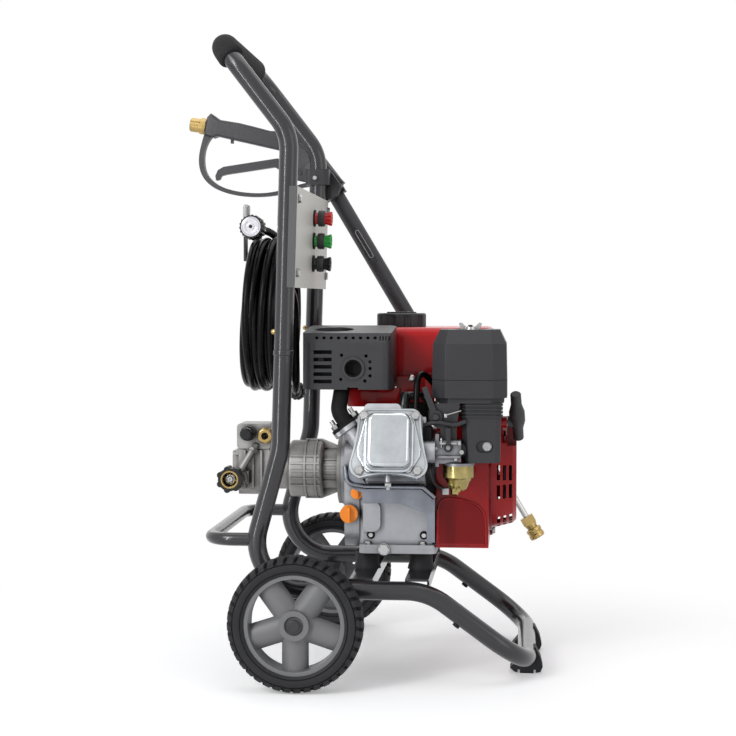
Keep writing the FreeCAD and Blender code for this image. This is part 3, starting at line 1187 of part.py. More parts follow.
def make_recoil_cover():
    """Slotted starter cover with a flat top, a pocket for the handle and three bolted lugs."""
    wall = RECOIL_WALL
    x0 = FAN_X1
    depth = RECOIL_X1 - x0
    centre = V(x0, CRANK_Y, CRANK_Z)
    rim_r = RECOIL_R + 2
    outer = turned(centre, AX_X, [(0, 0), (0, rim_r), (3, rim_r), (3, RECOIL_R - 1),
                                  (depth - 5, RECOIL_FACE_R + 2), (depth, RECOIL_FACE_R - 3), (depth, 0)])
    inner = turned(centre, AX_X, [(-1, 0), (-1, RECOIL_R - wall - 1), (3, RECOIL_R - wall - 1),
                                  (depth - 6, RECOIL_FACE_R), (depth - wall, RECOIL_FACE_R - 5),
                                  (depth - wall, 0)])
    above = box(x0 - 2, RECOIL_X1 + 2, -120, 150, CRANK_Z + RECOIL_FLAT, CRANK_Z + 150)
    outer = outer.cut(above)
    above_inside = above.copy()
    above_inside.translate(V(0, 0, -wall))
    inner = inner.cut(above_inside)
    shell = less(outer, [inner] + recoil_slots())
    guide = rope_guide()
    side_y, low_z = guide.y + 32, CRANK_Z + 40
    pocket = box(guide.x, RECOIL_X1 + 1, guide.y - 40, side_y, low_z, CRANK_Z + 150)
    lining = box(guide.x - wall, RECOIL_X1, guide.y - 40, side_y + wall, low_z - wall, CRANK_Z + 150)
    shell = joined([shell, lining.common(outer)]).cut(pocket)
    boss = rod(V(x0, guide.y, guide.z), AX_X, 8, guide.x - x0)
    reach = math.hypot(guide.y - CRANK_Y, guide.z - CRANK_Z)
    arm = box(x0, guide.x - 6, -7, 7, RECOIL_FLAT - 8, reach)
    arm.rotate(V(0, 0, 0), AX_X, math.degrees(math.atan2(CRANK_Y - guide.y, guide.z - CRANK_Z)))
    arm.translate(V(0, CRANK_Y, CRANK_Z))
    spindle = rod(V(RECOIL_X1 - 20, CRANK_Y, CRANK_Z), AX_X, 7, 19)
    lugs = [rod(V(x0, y, z), AX_X, 8, 3) for y, z in recoil_bolt_spots()]
    solid = joined([shell, less(joined([boss, arm]), [inner]), spindle] + lugs)
    save("recoil_cover", drilled(solid.cut(rod(V(150, guide.y, guide.z), AX_X, 3.2, 90))))


def recoil_slots():
    """Air slots: three columns on the side, plain between the ribs, and a ring on the face."""
    slots = []
    pitch = 360.0 / RECOIL_ROWS
    for column in range(3):
        x = FAN_X1 + 10.6 + 8.4 * column
        slot = box(x, x + 4.4, -RECOIL_R - 4, -RECOIL_FACE_R + 12, -10.5, 10.5)
        for row in range(RECOIL_ROWS):
            if row % 6 in (1, 4):
                continue
            copy = slot.copy()
            copy.rotate(V(0, 0, 0), AX_X, -pitch * (row + 0.13))
            copy.translate(V(0, CRANK_Y, CRANK_Z))
            slots.append(copy)
    radial = box(RECOIL_X1 - 5, RECOIL_X1 + 1, -64, -38, -3, 3)
    for copy in around(radial, V(0, 0, 0), AX_X, 14):
        copy.translate(V(0, CRANK_Y, CRANK_Z))
        slots.append(copy)
    return slots


def recoil_bolt_spots():
    radius = RECOIL_R + 5
    turns = [math.radians(angle) for angle in (159, 279, 39)]
    return [(CRANK_Y + radius * math.cos(turn), CRANK_Z + radius * math.sin(turn)) for turn in turns]


def rope_guide():
    """Eye in the cover that the starter rope leaves through."""
    return V(RECOIL_X1 - 13, CRANK_Y - 65, CRANK_Z + 74)


def make_starter():
    guide = rope_guide()
    pulley_x = RECOIL_X1 - 18
    centre = V(pulley_x, CRANK_Y, CRANK_Z)
    pulley = turned(centre, AX_X, [(0, 7 + RUN_FIT), (0, PULLEY_R + 8), (3, PULLEY_R + 8), (5, PULLEY_R),
                                   (8, PULLEY_R), (10, PULLEY_R + 8), (13, PULLEY_R + 8),
                                   (13, 7 + RUN_FIT)])
    save("starter_pulley", pulley)
    seat = guide + V(CLEAR, 0, 0)
    stem = cone(seat, AX_X, 8.5, 7.0, 12)
    tilt = V(4, 52, -64).normalize()
    middle = seat + V(14, 0, 2)
    bar = turned(middle - tilt * 50, tilt,
                 [(0, 0), (0, 6), (1.5, 7.4), (20, 7.6), (34, 11), (50, 11), (64, 7.6), (82.5, 7.4),
                  (84, 6), (84, 0)])
    handle = joined([stem, bar])
    bore = rod(guide, AX_X, ROPE_R + RUN_FIT, 16)
    save("starter_handle", handle.cut(bore))
    rope = rod(V(guide.x - 10, guide.y, guide.z), AX_X, ROPE_R, 26)
    save("starter_rope", rope)


def make_flywheel():
    centre = V(0, CRANK_Y, CRANK_Z)
    shaft = rod(centre + V(-44, 0, 0), AX_X, CRANK_R, 44 + 190)
    x0 = FAN_X0 + 10
    disc = turned(centre + V(x0, 0, 0), AX_X, [(0, 0), (0, FLYWHEEL_R), (22, FLYWHEEL_R), (26, 60),
                                             (30, 24), (30, 0)])
    blade = box(x0 + 20, x0 + 44, 36, FLYWHEEL_R - 1, -1.6, 1.6)
    blades = []
    for copy in around(blade, V(0, 0, 0), AX_X, FAN_BLADES):
        copy.translate(centre)
        blades.append(copy)
    cup = turned(centre + V(x0 + 29, 0, 0), AX_X, [(0, 0), (0, 30), (34, 30), (34, 27), (3, 27), (3, 0)])
    save("flywheel", joined([shaft, disc, cup] + blades))


# ---------------------------------------------------------------- air filter and carburettor
def octagon(x0, x1, y0, y1, cut, z):
    return [V(x0 + cut, y0, z), V(x1 - cut, y0, z), V(x1, y0 + cut, z), V(x1, y1 - cut, z),
            V(x1 - cut, y1, z), V(x0 + cut, y1, z), V(x0, y1 - cut, z), V(x0, y0 + cut, z)]


def make_filter():
    x0, x1, y0, y1 = FILTER_X0, FILTER_X1, FILTER_FRONT_Y, FILTER_BACK_Y
    cut = FILTER_CHAMFER
    lower = prism(octagon(x0, x1, y0, y1, cut, FILTER_Z0 + 7), V(0, 0, FILTER_STEP_Z - FILTER_Z0 - 7))
    pan = prism(octagon(x0 + 4, x1 - 4, y0 + 4, y1 - 4, cut, FILTER_Z0), V(0, 0, 8))
    duct_top = Part.makePolygon(octagon(157, 212, y0 + 6, y0 + 54, 7, FILTER_Z0)
                                + [V(157 + 7, y0 + 6, FILTER_Z0)])
    duct_mid = Part.makePolygon(octagon(158, 211, y0 + 6, y0 + 52, 7, 352) + [V(158 + 7, y0 + 6, 352)])
    duct_low = Part.makePolygon(octagon(161, 210, y0 + 2, y0 + 40, 7, 296) + [V(161 + 7, y0 + 2, 296)])
    duct = Part.makeLoft([duct_top, duct_mid, duct_low], True, True)
    ribs = [prism(octagon(155.5, 213.5, y0 + 4.5, y0 + 54, 8, z), V(0, 0, 2)) for z in (357, 362, 367, 372)]
    spout = rod(V(CARB_X + CARB_HALF, CARB_Y + 8, CARB_Z + 1), AX_X, 14, 14)
    well = V(DUCT_BOLT_X, y0 - 2, DUCT_BOLT_Z)
    recess = joined([rod(well, AX_Y, 8, DUCT_RECESS + 2), rod(well - AX_X * 7, AX_Y, 8, DUCT_RECESS + 2),
                     box(well.x - 7, well.x, well.y, well.y + DUCT_RECESS + 2, well.z - 8, well.z + 8)])
    base = drilled(joined([lower, pan, duct, spout] + ribs).cut(recess))
    stud_foot = V((x0 + x1) / 2.0, (y0 + y1) / 2.0, FILTER_STEP_Z - 2)
    stud = rod(stud_foot, AX_Z, 3, FILTER_Z1 - FILTER_STEP_Z + 8)
    save("air_filter_base", joined([base, stud]))
    side = Part.makePolygon(octagon(x0, x1, y0, y1, cut, FILTER_STEP_Z + 0.4)
                            + [V(x0 + cut, y0, FILTER_STEP_Z + 0.4)])
    shoulder = Part.makePolygon(octagon(x0 + 1, x1 - 1, y0 + 1, y1 - 1, cut, FILTER_SHOULDER_Z)
                                + [V(x0 + 1 + cut, y0 + 1, FILTER_SHOULDER_Z)])
    roof = Part.makePolygon(octagon(x0 + 10, x1 - 10, y0 + 16, y1 - 10, 12, FILTER_Z1)
                            + [V(x0 + 22, y0 + 16, FILTER_Z1)])
    cover = Part.makeLoft([side, shoulder, roof], True, True)
    well = rod(V((x0 + x1) / 2.0, (y0 + y1) / 2.0, FILTER_Z1 - 6), AX_Z, 21, 10)
    hole = rod(V((x0 + x1) / 2.0, (y0 + y1) / 2.0, FILTER_STEP_Z), AX_Z, 3 + RUN_FIT, 80)
    save("air_filter_cover", less(cover, [well, hole]))
    top = V((x0 + x1) / 2.0, (y0 + y1) / 2.0, FILTER_Z1 - 6 + CLEAR)
    nut = turned(top, AX_Z, [(0, 3 + RUN_FIT), (0, 8), (9, 6.5), (9, 3 + RUN_FIT)])
    wing = prism([V(5, -1.5, 1), V(13, -1.5, 4), V(16, -1.5, 14), V(12, -1.5, 15), V(5, -1.5, 8)],
                 V(0, 3, 0))
    wings = around(wing, V(0, 0, 0), AX_Z, 2)
    for piece in wings:
        piece.translate(top)
    save("wing_nut", joined([nut] + wings))


def make_carburettor():
    x, y, z = CARB_X, CARB_Y, CARB_Z
    head_side = HEAD_X + COVER_LOW_W / 2.0
    body = box(head_side + 9, x + CARB_HALF, y - 14, y + 22, z - 17, z + 16)
    body = round_edges(body, 4, lambda e: is_along(e, AX_X))
    throat = rod(V(head_side + 9, y + 8, z + 2), AX_X, 15, x - 23 - head_side - 9)
    flange = box(head_side + 9, head_side + 14, y - 14, y + 30, z - 20, z + 24)
    rim_disc = rod(V(x + 7, y + 2, z - 19), AX_Z, BOWL_R + 1, 3.5)
    pin = rod(V(x - 20, y - 15, z - 7), AX_X, 2.5, 30)
    post = rod(V(x - 6, y - 13, z + 6), AX_Y * -1, 3, 7)
    save("carburettor", joined([body, throat, flange, rim_disc, pin, post]))
    bowl = turned(V(x + 7, y + 2, z - 19), AX_Z * -1,
                  [(0, 0), (0, BOWL_R), (16, BOWL_R), (18, BOWL_R - 2), (24, 15), (32, 12), (34, 10),
                   (34, 0)])
    screw = hexagon(V(x + 2, y - 4, z - 50), V(0, -0.5, -1).normalize(), 9, 10)
    save("float_bowl", joined([bowl, screw]))
    lever_hub = V(x - 6, y - 14 - CLEAR, z + 6)
    hub = ring(lever_hub, AX_Y * -1, 6, 3 + RUN_FIT, 4)
    arm = box(lever_hub.x - 3, lever_hub.x + 3, lever_hub.y - 4, lever_hub.y, lever_hub.z + 4.5,
              lever_hub.z + 26)
    save("choke_lever", joined([hub, arm]))


def make_controls():
    """Bracket above the carburettor that carries the throttle lever, and the fuel hoses."""
    y = CARB_Y - 8
    z = CARB_Z + 16
    plate = prism([V(130, y, z), V(152, y, z), V(152, y, z + 16), V(156, y, FILTER_Z0), V(122, y, FILTER_Z0),
                   V(114, y, z + 38), V(114, y, z + 22), V(130, y, z + 14)], V(0, 3, 0))
    shelf = box(130, 152, y + 2, y + 26, FILTER_Z0 - 3, FILTER_Z0)
    pivot = rod(V(124, y + 1, z + 31), AX_Y * -1, 4, 10)
    save("intake_bracket", joined([plate, shelf, pivot]))
    hub = ring(V(124, y - CLEAR, z + 31), AX_Y * -1, 9, 4 + RUN_FIT, 4)
    arm = prism([V(118, y - CLEAR, z + 33), V(126, y - CLEAR, z + 36), V(112, y - CLEAR, z + 72),
                 V(105, y - CLEAR, z + 70)], V(0, -4, 0))
    bore = rod(V(124, y + 1, z + 31), AX_Y * -1, 4 + RUN_FIT, 10)
    save("throttle_lever", joined([hub, arm]).cut(bore))
    fuel = swept_rod([V(100, COWL_FRONT_Y, 385), V(100, -92, 385), V(136, -126, 358), V(136, -126, z)],
                     [14, 10], 3.6)
    tilt = math.radians(HEAD_TILT)
    up = V(0, math.sin(tilt), math.cos(tilt))
    start = V(96.5, HEAD_Y + 26 * math.cos(tilt) + 59 * math.sin(tilt),
              HEAD_Z - 26 * math.sin(tilt) + 59 * math.cos(tilt))
    breather = swept_rod([start, start + up * 44, V(FILTER_X0 + 4, -82, 395)], [17], 4.2)
    breather = breather.cut(box(FILTER_X0, FILTER_X0 + 12, -110, -60, FILTER_Z0, FILTER_Z0 + 40))
    save("fuel_hoses", Part.makeCompound([fuel, breather]))


def make_dipsticks():
    front = CASE_FRONT_Y
    out = AX_Y * -1
    spots = (("oil_dipstick", V(DIPSTICK_X, front - 10 - CLEAR, DIPSTICK_Z), 12.4, 8.0, 9),
             ("oil_filler_plug", V(PLUG_X, front - 8 - CLEAR, PLUG_Z), 8.5, 6.0, 5))
    for node, base, radius, neck, grip in spots:
        body = turned(base, out, [(-10, 0), (-10, neck), (0, neck), (0, radius), (5, radius),
                                  (6, radius - 1.5), (6, 0)])
        fin = box(base.x - 2.2, base.x + 2.2, base.y - 6 - grip, base.y - 5, base.z - radius + 2,
                  base.z + radius - 2)
        save(node, joined([body, fin]))


def drilled(shape):
    """Cut the bolt shanks out of the piece they pass through."""
    return less(shape, all_bolts())


def flange_bolt(base, axis, size, shank):
    head = joined([hexagon(base, axis, size * 1.6, size * 0.7), rod(base, axis, size * 1.05, size * 0.25),
                   rod(base - axis * shank, axis, size / 2.0, shank + 0.1)])
    return head


def all_bolts():
    out = AX_Y * -1
    bolts = []
    for x, z in cover_bolt_spots():
        bolts.append(at_head(flange_bolt(V(x, 0, z), out, 6, COVER_PLATE)))
    for y, z in panel_bolt_spots():
        bolts.append(leaned(flange_bolt(V(PANEL_X + PANEL_THICK, y, z), AX_X, 6, PANEL_THICK)))
    flange_y = CASE_FRONT_Y
    for x in (CASE_X0 + 12, CASE_X1 - 16):
        bolts.append(flange_bolt(V(x, flange_y - 0.5, BASE_Z + CASE_FLANGE), AX_Z, 6, 4))
    bolts.append(flange_bolt(V(50, flange_y - 8, BASE_Z + 6), out, 8, 4))
    bolts += [flange_bolt(V(FAN_X1 + 3, y, z), AX_X, 6, 3) for y, z in recoil_bolt_spots()]
    bolts.append(flange_bolt(V(DUCT_BOLT_X, FILTER_FRONT_Y + DUCT_RECESS, DUCT_BOLT_Z), out, 6, 4))
    bolts += exhaust_studs()
    for side in (-1, 1):
        for dz in (-24, 24):
            spot = V(PUMP_HEAD_X0 + 10, CRANK_Y + side * 26, CRANK_Z + dz)
            bolts.append(flange_bolt(spot, AX_X * -1, 6, 4))
    return bolts


make_frame()
make_rear_bar()
make_grip()
make_axle()
make_brackets()
make_rubber()
make_wheels()
make_buttons()
make_panel()
make_nozzles()
make_hook()
make_hose()
make_fittings()
make_gun()
make_trigger()
make_lance()
make_gun_fittings()
make_holder()
make_pump()
make_pump_head()
make_pump_fittings()
make_crankcase()
make_head()
make_valve_cover()
make_lower_shroud()
make_muffler()
make_tank()
make_fan_housing()
make_recoil_cover()
make_starter()
make_flywheel()
make_filter()
make_carburettor()
make_controls()
make_dipsticks()
save("flange_bolts", Part.makeCompound(all_bolts()))
print(len(made), "nodes")
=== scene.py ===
"""Petrol pressure washer: finishes, tyres, hose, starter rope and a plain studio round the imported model."""

import bpy
import bmesh
import math
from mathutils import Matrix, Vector
from bpy.props import FloatProperty, FloatVectorProperty, IntProperty, PointerProperty


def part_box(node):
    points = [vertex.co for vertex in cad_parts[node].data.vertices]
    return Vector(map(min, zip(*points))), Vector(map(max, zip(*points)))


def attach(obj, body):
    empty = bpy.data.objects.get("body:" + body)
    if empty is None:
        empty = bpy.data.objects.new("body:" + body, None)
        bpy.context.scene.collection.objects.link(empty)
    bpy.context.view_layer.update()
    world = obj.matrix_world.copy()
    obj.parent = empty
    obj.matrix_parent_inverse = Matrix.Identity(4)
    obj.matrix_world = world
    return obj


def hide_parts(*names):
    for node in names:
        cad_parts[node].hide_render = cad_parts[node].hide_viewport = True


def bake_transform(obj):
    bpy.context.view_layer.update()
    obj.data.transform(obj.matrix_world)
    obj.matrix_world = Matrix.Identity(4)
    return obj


bl_info = {
    "name": "Petrol Pressure Washer",
    "version": (1, 0, 0),
    "blender": (4, 5, 0),
    "location": "View3D > Sidebar > Washer",
    "description": "Finishes and soft parts of a petrol pressure washer",
    "category": "Object",
}

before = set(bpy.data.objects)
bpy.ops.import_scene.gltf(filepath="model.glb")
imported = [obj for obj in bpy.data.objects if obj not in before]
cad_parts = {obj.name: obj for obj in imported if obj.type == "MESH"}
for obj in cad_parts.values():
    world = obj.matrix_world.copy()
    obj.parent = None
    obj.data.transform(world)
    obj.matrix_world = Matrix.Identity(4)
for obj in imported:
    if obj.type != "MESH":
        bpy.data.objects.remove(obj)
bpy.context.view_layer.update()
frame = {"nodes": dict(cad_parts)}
NODES = frame["nodes"]
MM = 0.001
NEAR = (0, -1, 0)  # direction towards the near side


# ---------- sizes and colours
def colour_prop(name, description, default):
    return FloatVectorProperty(name=name, description=description, default=default, size=3,
                               min=0.0, max=1.0, subtype="COLOR")


class WasherColours(bpy.types.PropertyGroup):
    frame: colour_prop("Frame", "Gunmetal of the tubes", (0.019, 0.019, 0.022))
    red: colour_prop("Red", "Tank and blower housing", (0.52, 0.006, 0.009))
    panel: colour_prop("Panel", "Nozzle panel", (0.56, 0.56, 0.51))
    plastic: colour_prop("Plastic", "Black mouldings", (0.025, 0.025, 0.028))
    rim: colour_prop("Rim", "Wheel centres", (0.136, 0.136, 0.141))
    rubber: colour_prop("Rubber", "Tyres and engine mounts", (0.017, 0.017, 0.019))
    orange: colour_prop("Orange", "Oil caps", (0.90, 0.26, 0.008))
    brass: colour_prop("Brass", "Water fittings", (0.44, 0.31, 0.120))
    casting: colour_prop("Casting", "Engine block", (0.36, 0.365, 0.385))
    pump: colour_prop("Pump casting", "Pump body", (0.30, 0.295, 0.285))


class WasherTyre(bpy.types.PropertyGroup):
    lugs: IntProperty(name="Lugs", description="Lugs on each shoulder", default=40, min=12, max=60)
    depth: FloatProperty(name="Lug depth", description="Height of a lug", default=4.6 * MM, unit="LENGTH")


class WasherHose(bpy.types.PropertyGroup):
    length: FloatProperty(name="Length", description="Whole hose", default=7.6, unit="LENGTH")
    diameter: FloatProperty(name="Diameter", description="Outside of the hose", default=11.5 * MM,
                            unit="LENGTH")
    turns: IntProperty(name="Turns", description="Turns hung on the hook", default=12, min=2, max=20)


class WasherStudio(bpy.types.PropertyGroup):
    key: FloatProperty(name="Key light", description="Large soft light from the left", default=38.0,
                       unit="POWER")
    fill: FloatProperty(name="Fill light", description="Soft light from the right, and from behind",
                        default=8.0, unit="POWER")
    top: FloatProperty(name="Top light", description="Soft light from above", default=18.0, unit="POWER")
    sky: FloatProperty(name="Surround", description="Even light of the white surround", default=0.34,
                       subtype="FACTOR")
    strip: FloatProperty(name="Strip light", description="Narrow light that draws lines on the tubes",
                         default=17.0, unit="POWER")
    lens: FloatProperty(name="Lens", description="Focal length", default=83.9, unit="CAMERA")


# ---------- finishes
# Colour (or which of the colours above), roughness, metallic, mottle and its size, spread of the gloss,
# grain and its relief in metres, specular level, reach of the painted shade in crevices, and what else
# differs (a share below one is a darker copy of the colour as painted shade; flange is painted shade on faces
# along Y).
FINISHES = {
    "gunmetal_paint": ("frame", 0.3, 0.2, 0.06, 12, 0.03, 500, 1e-5, 0.35, 0,
        dict(coat=0.55, coat_rough=0.04)),
    "red_paint": ("red", 0.3, 0, 0.07, 12, 0.03, 350, 1.2e-5, 0.12, 0.012, dict(coat=0.3, coat_rough=0.04)),
    # The tank's red paint on the fan housing and recoil cover, darkened by its share as painted shade.
    "cowl_red": ("red", 0.28, 0, 0.12, 9, 0.03, 350, 1.2e-5, 0.12, 0.016,
        dict(share=0.6, coat=0.3, coat_rough=0.04)),
    # Darker red still, as the painted shade in the arch of the fan housing.
    "cowl_shade": ("red", 0.36, 0, 0.12, 12, 0.05, 350, 2e-5, 0.12, 0.01, dict(share=0.36, coat=0.15)),
    # The panel's own paint, with painted shade on its faces that look along Y, its side flange among them.
    "panel_paint": ("panel", 0.42, 0, 0.03, 12, 0.05, 1400, 1e-5, 0.5, 0,
        dict(flange=(0.075, 0.075, 0.077))),
    "heat_black": ((0.034, 0.034, 0.037), 0.42, 0.15, 0.12, 12, 0.05, 1600, 2e-5, 0.35, 0.012, {}),
    # Near black: the muffler's own soot, and painted shade on blocks set where there is shadow.
    "soot_black": ((0.007, 0.007, 0.007), 0.6, 0, 0.2, 12, 0.05, 1600, 4e-5, 0.12, 0, {}),
    "black_moulding": ("plastic", 0.44, 0, 0.08, 12, 0.06, 2200, 3e-5, 0.35, 0.01, {}),
    "gloss_black": ((0.009, 0.009, 0.01), 0.24, 0, 0.05, 12, 0.05, 900, 1e-5, 0.35, 0, {}),
    "gun_plastic": ((0.04, 0.039, 0.044), 0.38, 0, 0.06, 12, 0.05, 2600, 4e-5, 0.4, 0.01, {}),
    "rim_plastic": ("rim", 0.46, 0, 0.05, 12, 0.05, 2000, 3e-5, 0.5, 0, {}),
    "tyre_rubber": ("rubber", 0.62, 0, 0.25, 30, 0.05, 1300, 5e-5, 0.25, 0.01, {}),
    "grip_foam": ((0.02, 0.02, 0.021), 0.86, 0, 0.3, 260, 0.05, 1500, 1.6e-4, 0.2, 0, {}),
    "grip_rubber": ((0.026, 0.026, 0.028), 0.58, 0, 0.12, 12, 0.05, 1800, 5e-5, 0.5, 0, {}),
    "hose_rubber": ((0.0035, 0.0035, 0.004), 0.22, 0, 0.15, 40, 0.05, 1500, 2e-5, 0.1, 0.008, {}),
    "block_casting": ("casting", 0.46, 0.92, 0.12, 30, 0.08, 700, 1.2e-4, 0.5, 0.008, {}),
    "pump_casting": ("pump", 0.48, 0.85, 0.14, 40, 0.08, 900, 9e-5, 0.5, 0.008, {}),
    "polished_cover": ((0.58, 0.61, 0.635), 0.14, 1, 0.22, 14, 0.04, 300, 8e-6, 0.5, 0.007, {}),
    # The tray's zinc: its own blue-grey tone and mottle, partly painted reflection of the dark and bright
    # things round it.
    "zinc_sheet": ((0.235, 0.25, 0.285), 0.2, 1, 0.38, 15, 0.07, 500, 3e-5, 0.5, 0.012, {}),
    "zinc_bolt": ((0.46, 0.46, 0.46), 0.22, 1, 0.1, 90, 0.05, 900, 2e-5, 0.5, 0.007, {}),
    "yellow_zinc": ((0.36, 0.295, 0.12), 0.22, 1, 0.35, 45, 0.05, 700, 2e-5, 0.5, 0, {}),
    "brass_metal": ("brass", 0.2, 1, 0.12, 70, 0.05, 900, 2e-5, 0.5, 0.006, {}),
    "carburettor_casting": ((0.23, 0.23, 0.245), 0.38, 0.95, 0.22, 60, 0.08, 900, 9e-5, 0.5, 0.006, {}),
    "chrome": ((0.8, 0.8, 0.84), 0.09, 1, 0.03, 60, 0.02, 600, 5e-6, 0.5, 0, {}),
    "dipped_vinyl": ((0.42, 0.42, 0.42), 0.34, 0, 0.08, 50, 0.05, 1200, 2e-5, 0.5, 0, {}),
    "white_nylon": ((0.72, 0.72, 0.72), 0.38, 0, 0.04, 80, 0.05, 1800, 1e-5, 0.5, 0, {}),
    "lance_steel": ((0.55, 0.54, 0.52), 0.22, 1, 0.06, 12, 0.05, 700, 1e-5, 0.5, 0, {}),
    "orange_plastic": ("orange", 0.36, 0, 0.05, 12, 0.05, 1500, 2e-5, 0.5, 0, {}),
    "nozzle_red": ((0.62, 0.012, 0.016), 0.34, 0, 0.04, 12, 0.05, 1500, 1e-5, 0.5, 0, {}),
    "nozzle_green": ((0.025, 0.4, 0.06), 0.34, 0, 0.04, 12, 0.05, 1500, 1e-5, 0.5, 0, {}),
}

FINISH_OF = {
    "gunmetal_paint": ("lower_frame", "handle_tube", "rear_bar", "frame_brackets"),
    "red_paint": ("fuel_tank",),
    "cowl_red": ("fan_housing", "recoil_cover"),
    "panel_paint": ("nozzle_panel",),
    "soot_black": ("muffler",),
    "heat_black": ("muffler_shield", "hose_hook", "intake_bracket", "axle"),
    "black_moulding": ("air_filter_base", "air_filter_cover", "fuel_cap", "gun_holder", "throttle_lever",
                       "starter_pulley", "choke_lever"),
    "gloss_black": ("unloader_knob", "inlet_nut"),
    "gun_plastic": ("gun_body", "gun_trigger", "lance_sleeve"),
    "rim_plastic": ("wheel_rim_near", "wheel_rim_far"),
    "tyre_rubber": ("rubber_mounts",),
    "grip_rubber": ("starter_handle",),
    "block_casting": ("crankcase", "cylinder_head", "flywheel"),
    "carburettor_casting": ("carburettor",),
    "pump_casting": ("pump_crankcase", "pump_head"),
    "polished_cover": ("valve_cover",),
    "zinc_sheet": ("lower_shroud",),
    "zinc_bolt": ("flange_bolts", "wing_nut"),
    "yellow_zinc": ("float_bowl",),
    "brass_metal": ("gun_fittings", "coupler_collar", "pump_outlet", "snap_button_near",
                    "snap_button_far"),
    "lance_steel": ("lance_tube",),
    "orange_plastic": ("oil_dipstick", "oil_filler_plug"),
}
FLAT_SHEETS = ("nozzle_panel",)  # thin sheet with holes: its edges are left sharp
BROKEN_EDGE = 0.4 * MM  # width taken off the sharp edges of the other nodes
WELD_GAP = 0.002 * MM  # seams of a node closer than this are welded
SMOOTH_BELOW = math.radians(28)  # edges flatter than this are shaded smooth
CLOUD_SPAN = (0.3, 0.7)  # where most of a noise texture's values lie
CREVICE_SHADE_SAMPLES = 6  # rays that look for a crevice


def add(tree, kind, **settings):
    """New node with its sockets filled, or its own settings where no socket has the name."""
    node = tree.nodes.new(kind)
    for key, value in settings.items():
        if key in node.inputs:
            node.inputs[key].default_value = value
        else:
            setattr(node, key, value)
    return node


def remap(tree, value, span, to=(0.0, 1.0), easing="LINEAR"):
    """One span of a value mapped to another."""
    node = add(tree, "ShaderNodeMapRange", interpolation_type=easing)
    for socket, level in zip(("From Min", "From Max", "To Min", "To Max"), (*span, *to)):
        node.inputs[socket].default_value = level
    tree.links.new(value, node.inputs["Value"])
    return node.outputs["Result"]


def fade(tree, share, first, second):
    """The first shader, or the second by a share."""
    mix = add(tree, "ShaderNodeMixShader")
    for socket, source in zip(mix.inputs, (share, first, second)):
        tree.links.new(source, socket)
    return mix.outputs[0]


def new_material(name, **settings):
    """Material with its surface shader's sockets filled."""
    material = bpy.data.materials.new(name)
    material.use_nodes = True
    shader = material.node_tree.nodes["Principled BSDF"]
    for socket, value in settings.items():
        shader.inputs[socket].default_value = value
    return material, material.node_tree, shader


def varied_surface(name, colour, rough, metallic, mottle, mottle_size, spread, grain, relief, specular,
                   crevice_shade_reach, share=1.0, coat=0.0, coat_rough=0.05, flange=None):
    """A surface whose colour, gloss and fine relief vary as the real one's do, with painted shade:
    darker in its crevices, and where asked over the whole colour or on the faces that look along Y.
    """
    material, tree, shader = new_material(name, **{
        "Metallic": metallic, "Specular IOR Level": specular, "Coat Weight": coat,
        "Coat Roughness": coat_rough})
    link = tree.links.new
    place = add(tree, "ShaderNodeTexCoord").outputs["Object"]
    cloud = add(tree, "ShaderNodeTexNoise", Scale=mottle_size, Detail=6.0, Roughness=0.6)
    link(place, cloud.inputs["Vector"])
    tint = add(tree, "ShaderNodeVectorMath", operation="SCALE")
    # A share below one darkens the colour as painted shade, for a shaded copy of a paint.
    tint.inputs[0].default_value = [part * share for part in colour]
    link(remap(tree, cloud.outputs["Fac"], CLOUD_SPAN, (1.0 - mottle, 1.0 + mottle)), tint.inputs["Scale"])
    colour_and_shade = tint.outputs["Vector"]
    # Painted shade on the faces that look along Y.
    if flange:
        colour_and_shade = flange_shade(tree, colour_and_shade, flange)
    # Painted shade: ambient occlusion darkens the colour in crevices.
    if crevice_shade_reach > 0:
        crevice_shade = add(tree, "ShaderNodeAmbientOcclusion", Distance=crevice_shade_reach, samples=CREVICE_SHADE_SAMPLES)
        link(colour_and_shade, crevice_shade.inputs["Color"])
        colour_and_shade = crevice_shade.outputs["Color"]
    link(colour_and_shade, shader.inputs["Base Color"])
    gloss = max(0.02, rough - spread), min(1.0, rough + spread)
    link(remap(tree, cloud.outputs["Fac"], CLOUD_SPAN, gloss), shader.inputs["Roughness"])
    fine = add(tree, "ShaderNodeTexNoise", Scale=grain, Detail=3.0)
    link(place, fine.inputs["Vector"])
    bump = add(tree, "ShaderNodeBump", Strength=1.0, Distance=relief)
    link(fine.outputs["Fac"], bump.inputs["Height"])
    link(bump.outputs["Normal"], shader.inputs["Normal"])
    if coat > 0:
        link(bump.outputs["Normal"], shader.inputs["Coat Normal"])
    return material


def flange_shade(tree, colour, flange):
    """The colour, with a darker second one painted as shade on the faces that look along Y."""
    parts = add(tree, "ShaderNodeSeparateXYZ")
    tree.links.new(add(tree, "ShaderNodeTexCoord").outputs["Normal"], parts.inputs[0])
    size = add(tree, "ShaderNodeMath", operation="ABSOLUTE")
    tree.links.new(parts.outputs["Y"], size.inputs[0])
    share, first, second, mixed = 0, 6, 7, 2  # the colour sockets of the mix node
    mix = add(tree, "ShaderNodeMix", data_type="RGBA")
    tree.links.new(remap(tree, size.outputs[0], (0.6, 0.8)), mix.inputs[share])
    tree.links.new(colour, mix.inputs[first])
    mix.inputs[second].default_value = (*flange, 1.0)
    return mix.outputs[mixed]


def finish(row):
    """Material of a row of FINISHES, made when it is first asked for."""
    name = "washer_" + row
    if name in bpy.data.materials:
        return bpy.data.materials[name]
    colour, *levels, others = FINISHES[row]
    if isinstance(colour, str):
        colour = getattr(bpy.context.scene.washer_colours, colour)
    return varied_surface(name, colour, *levels, **others)


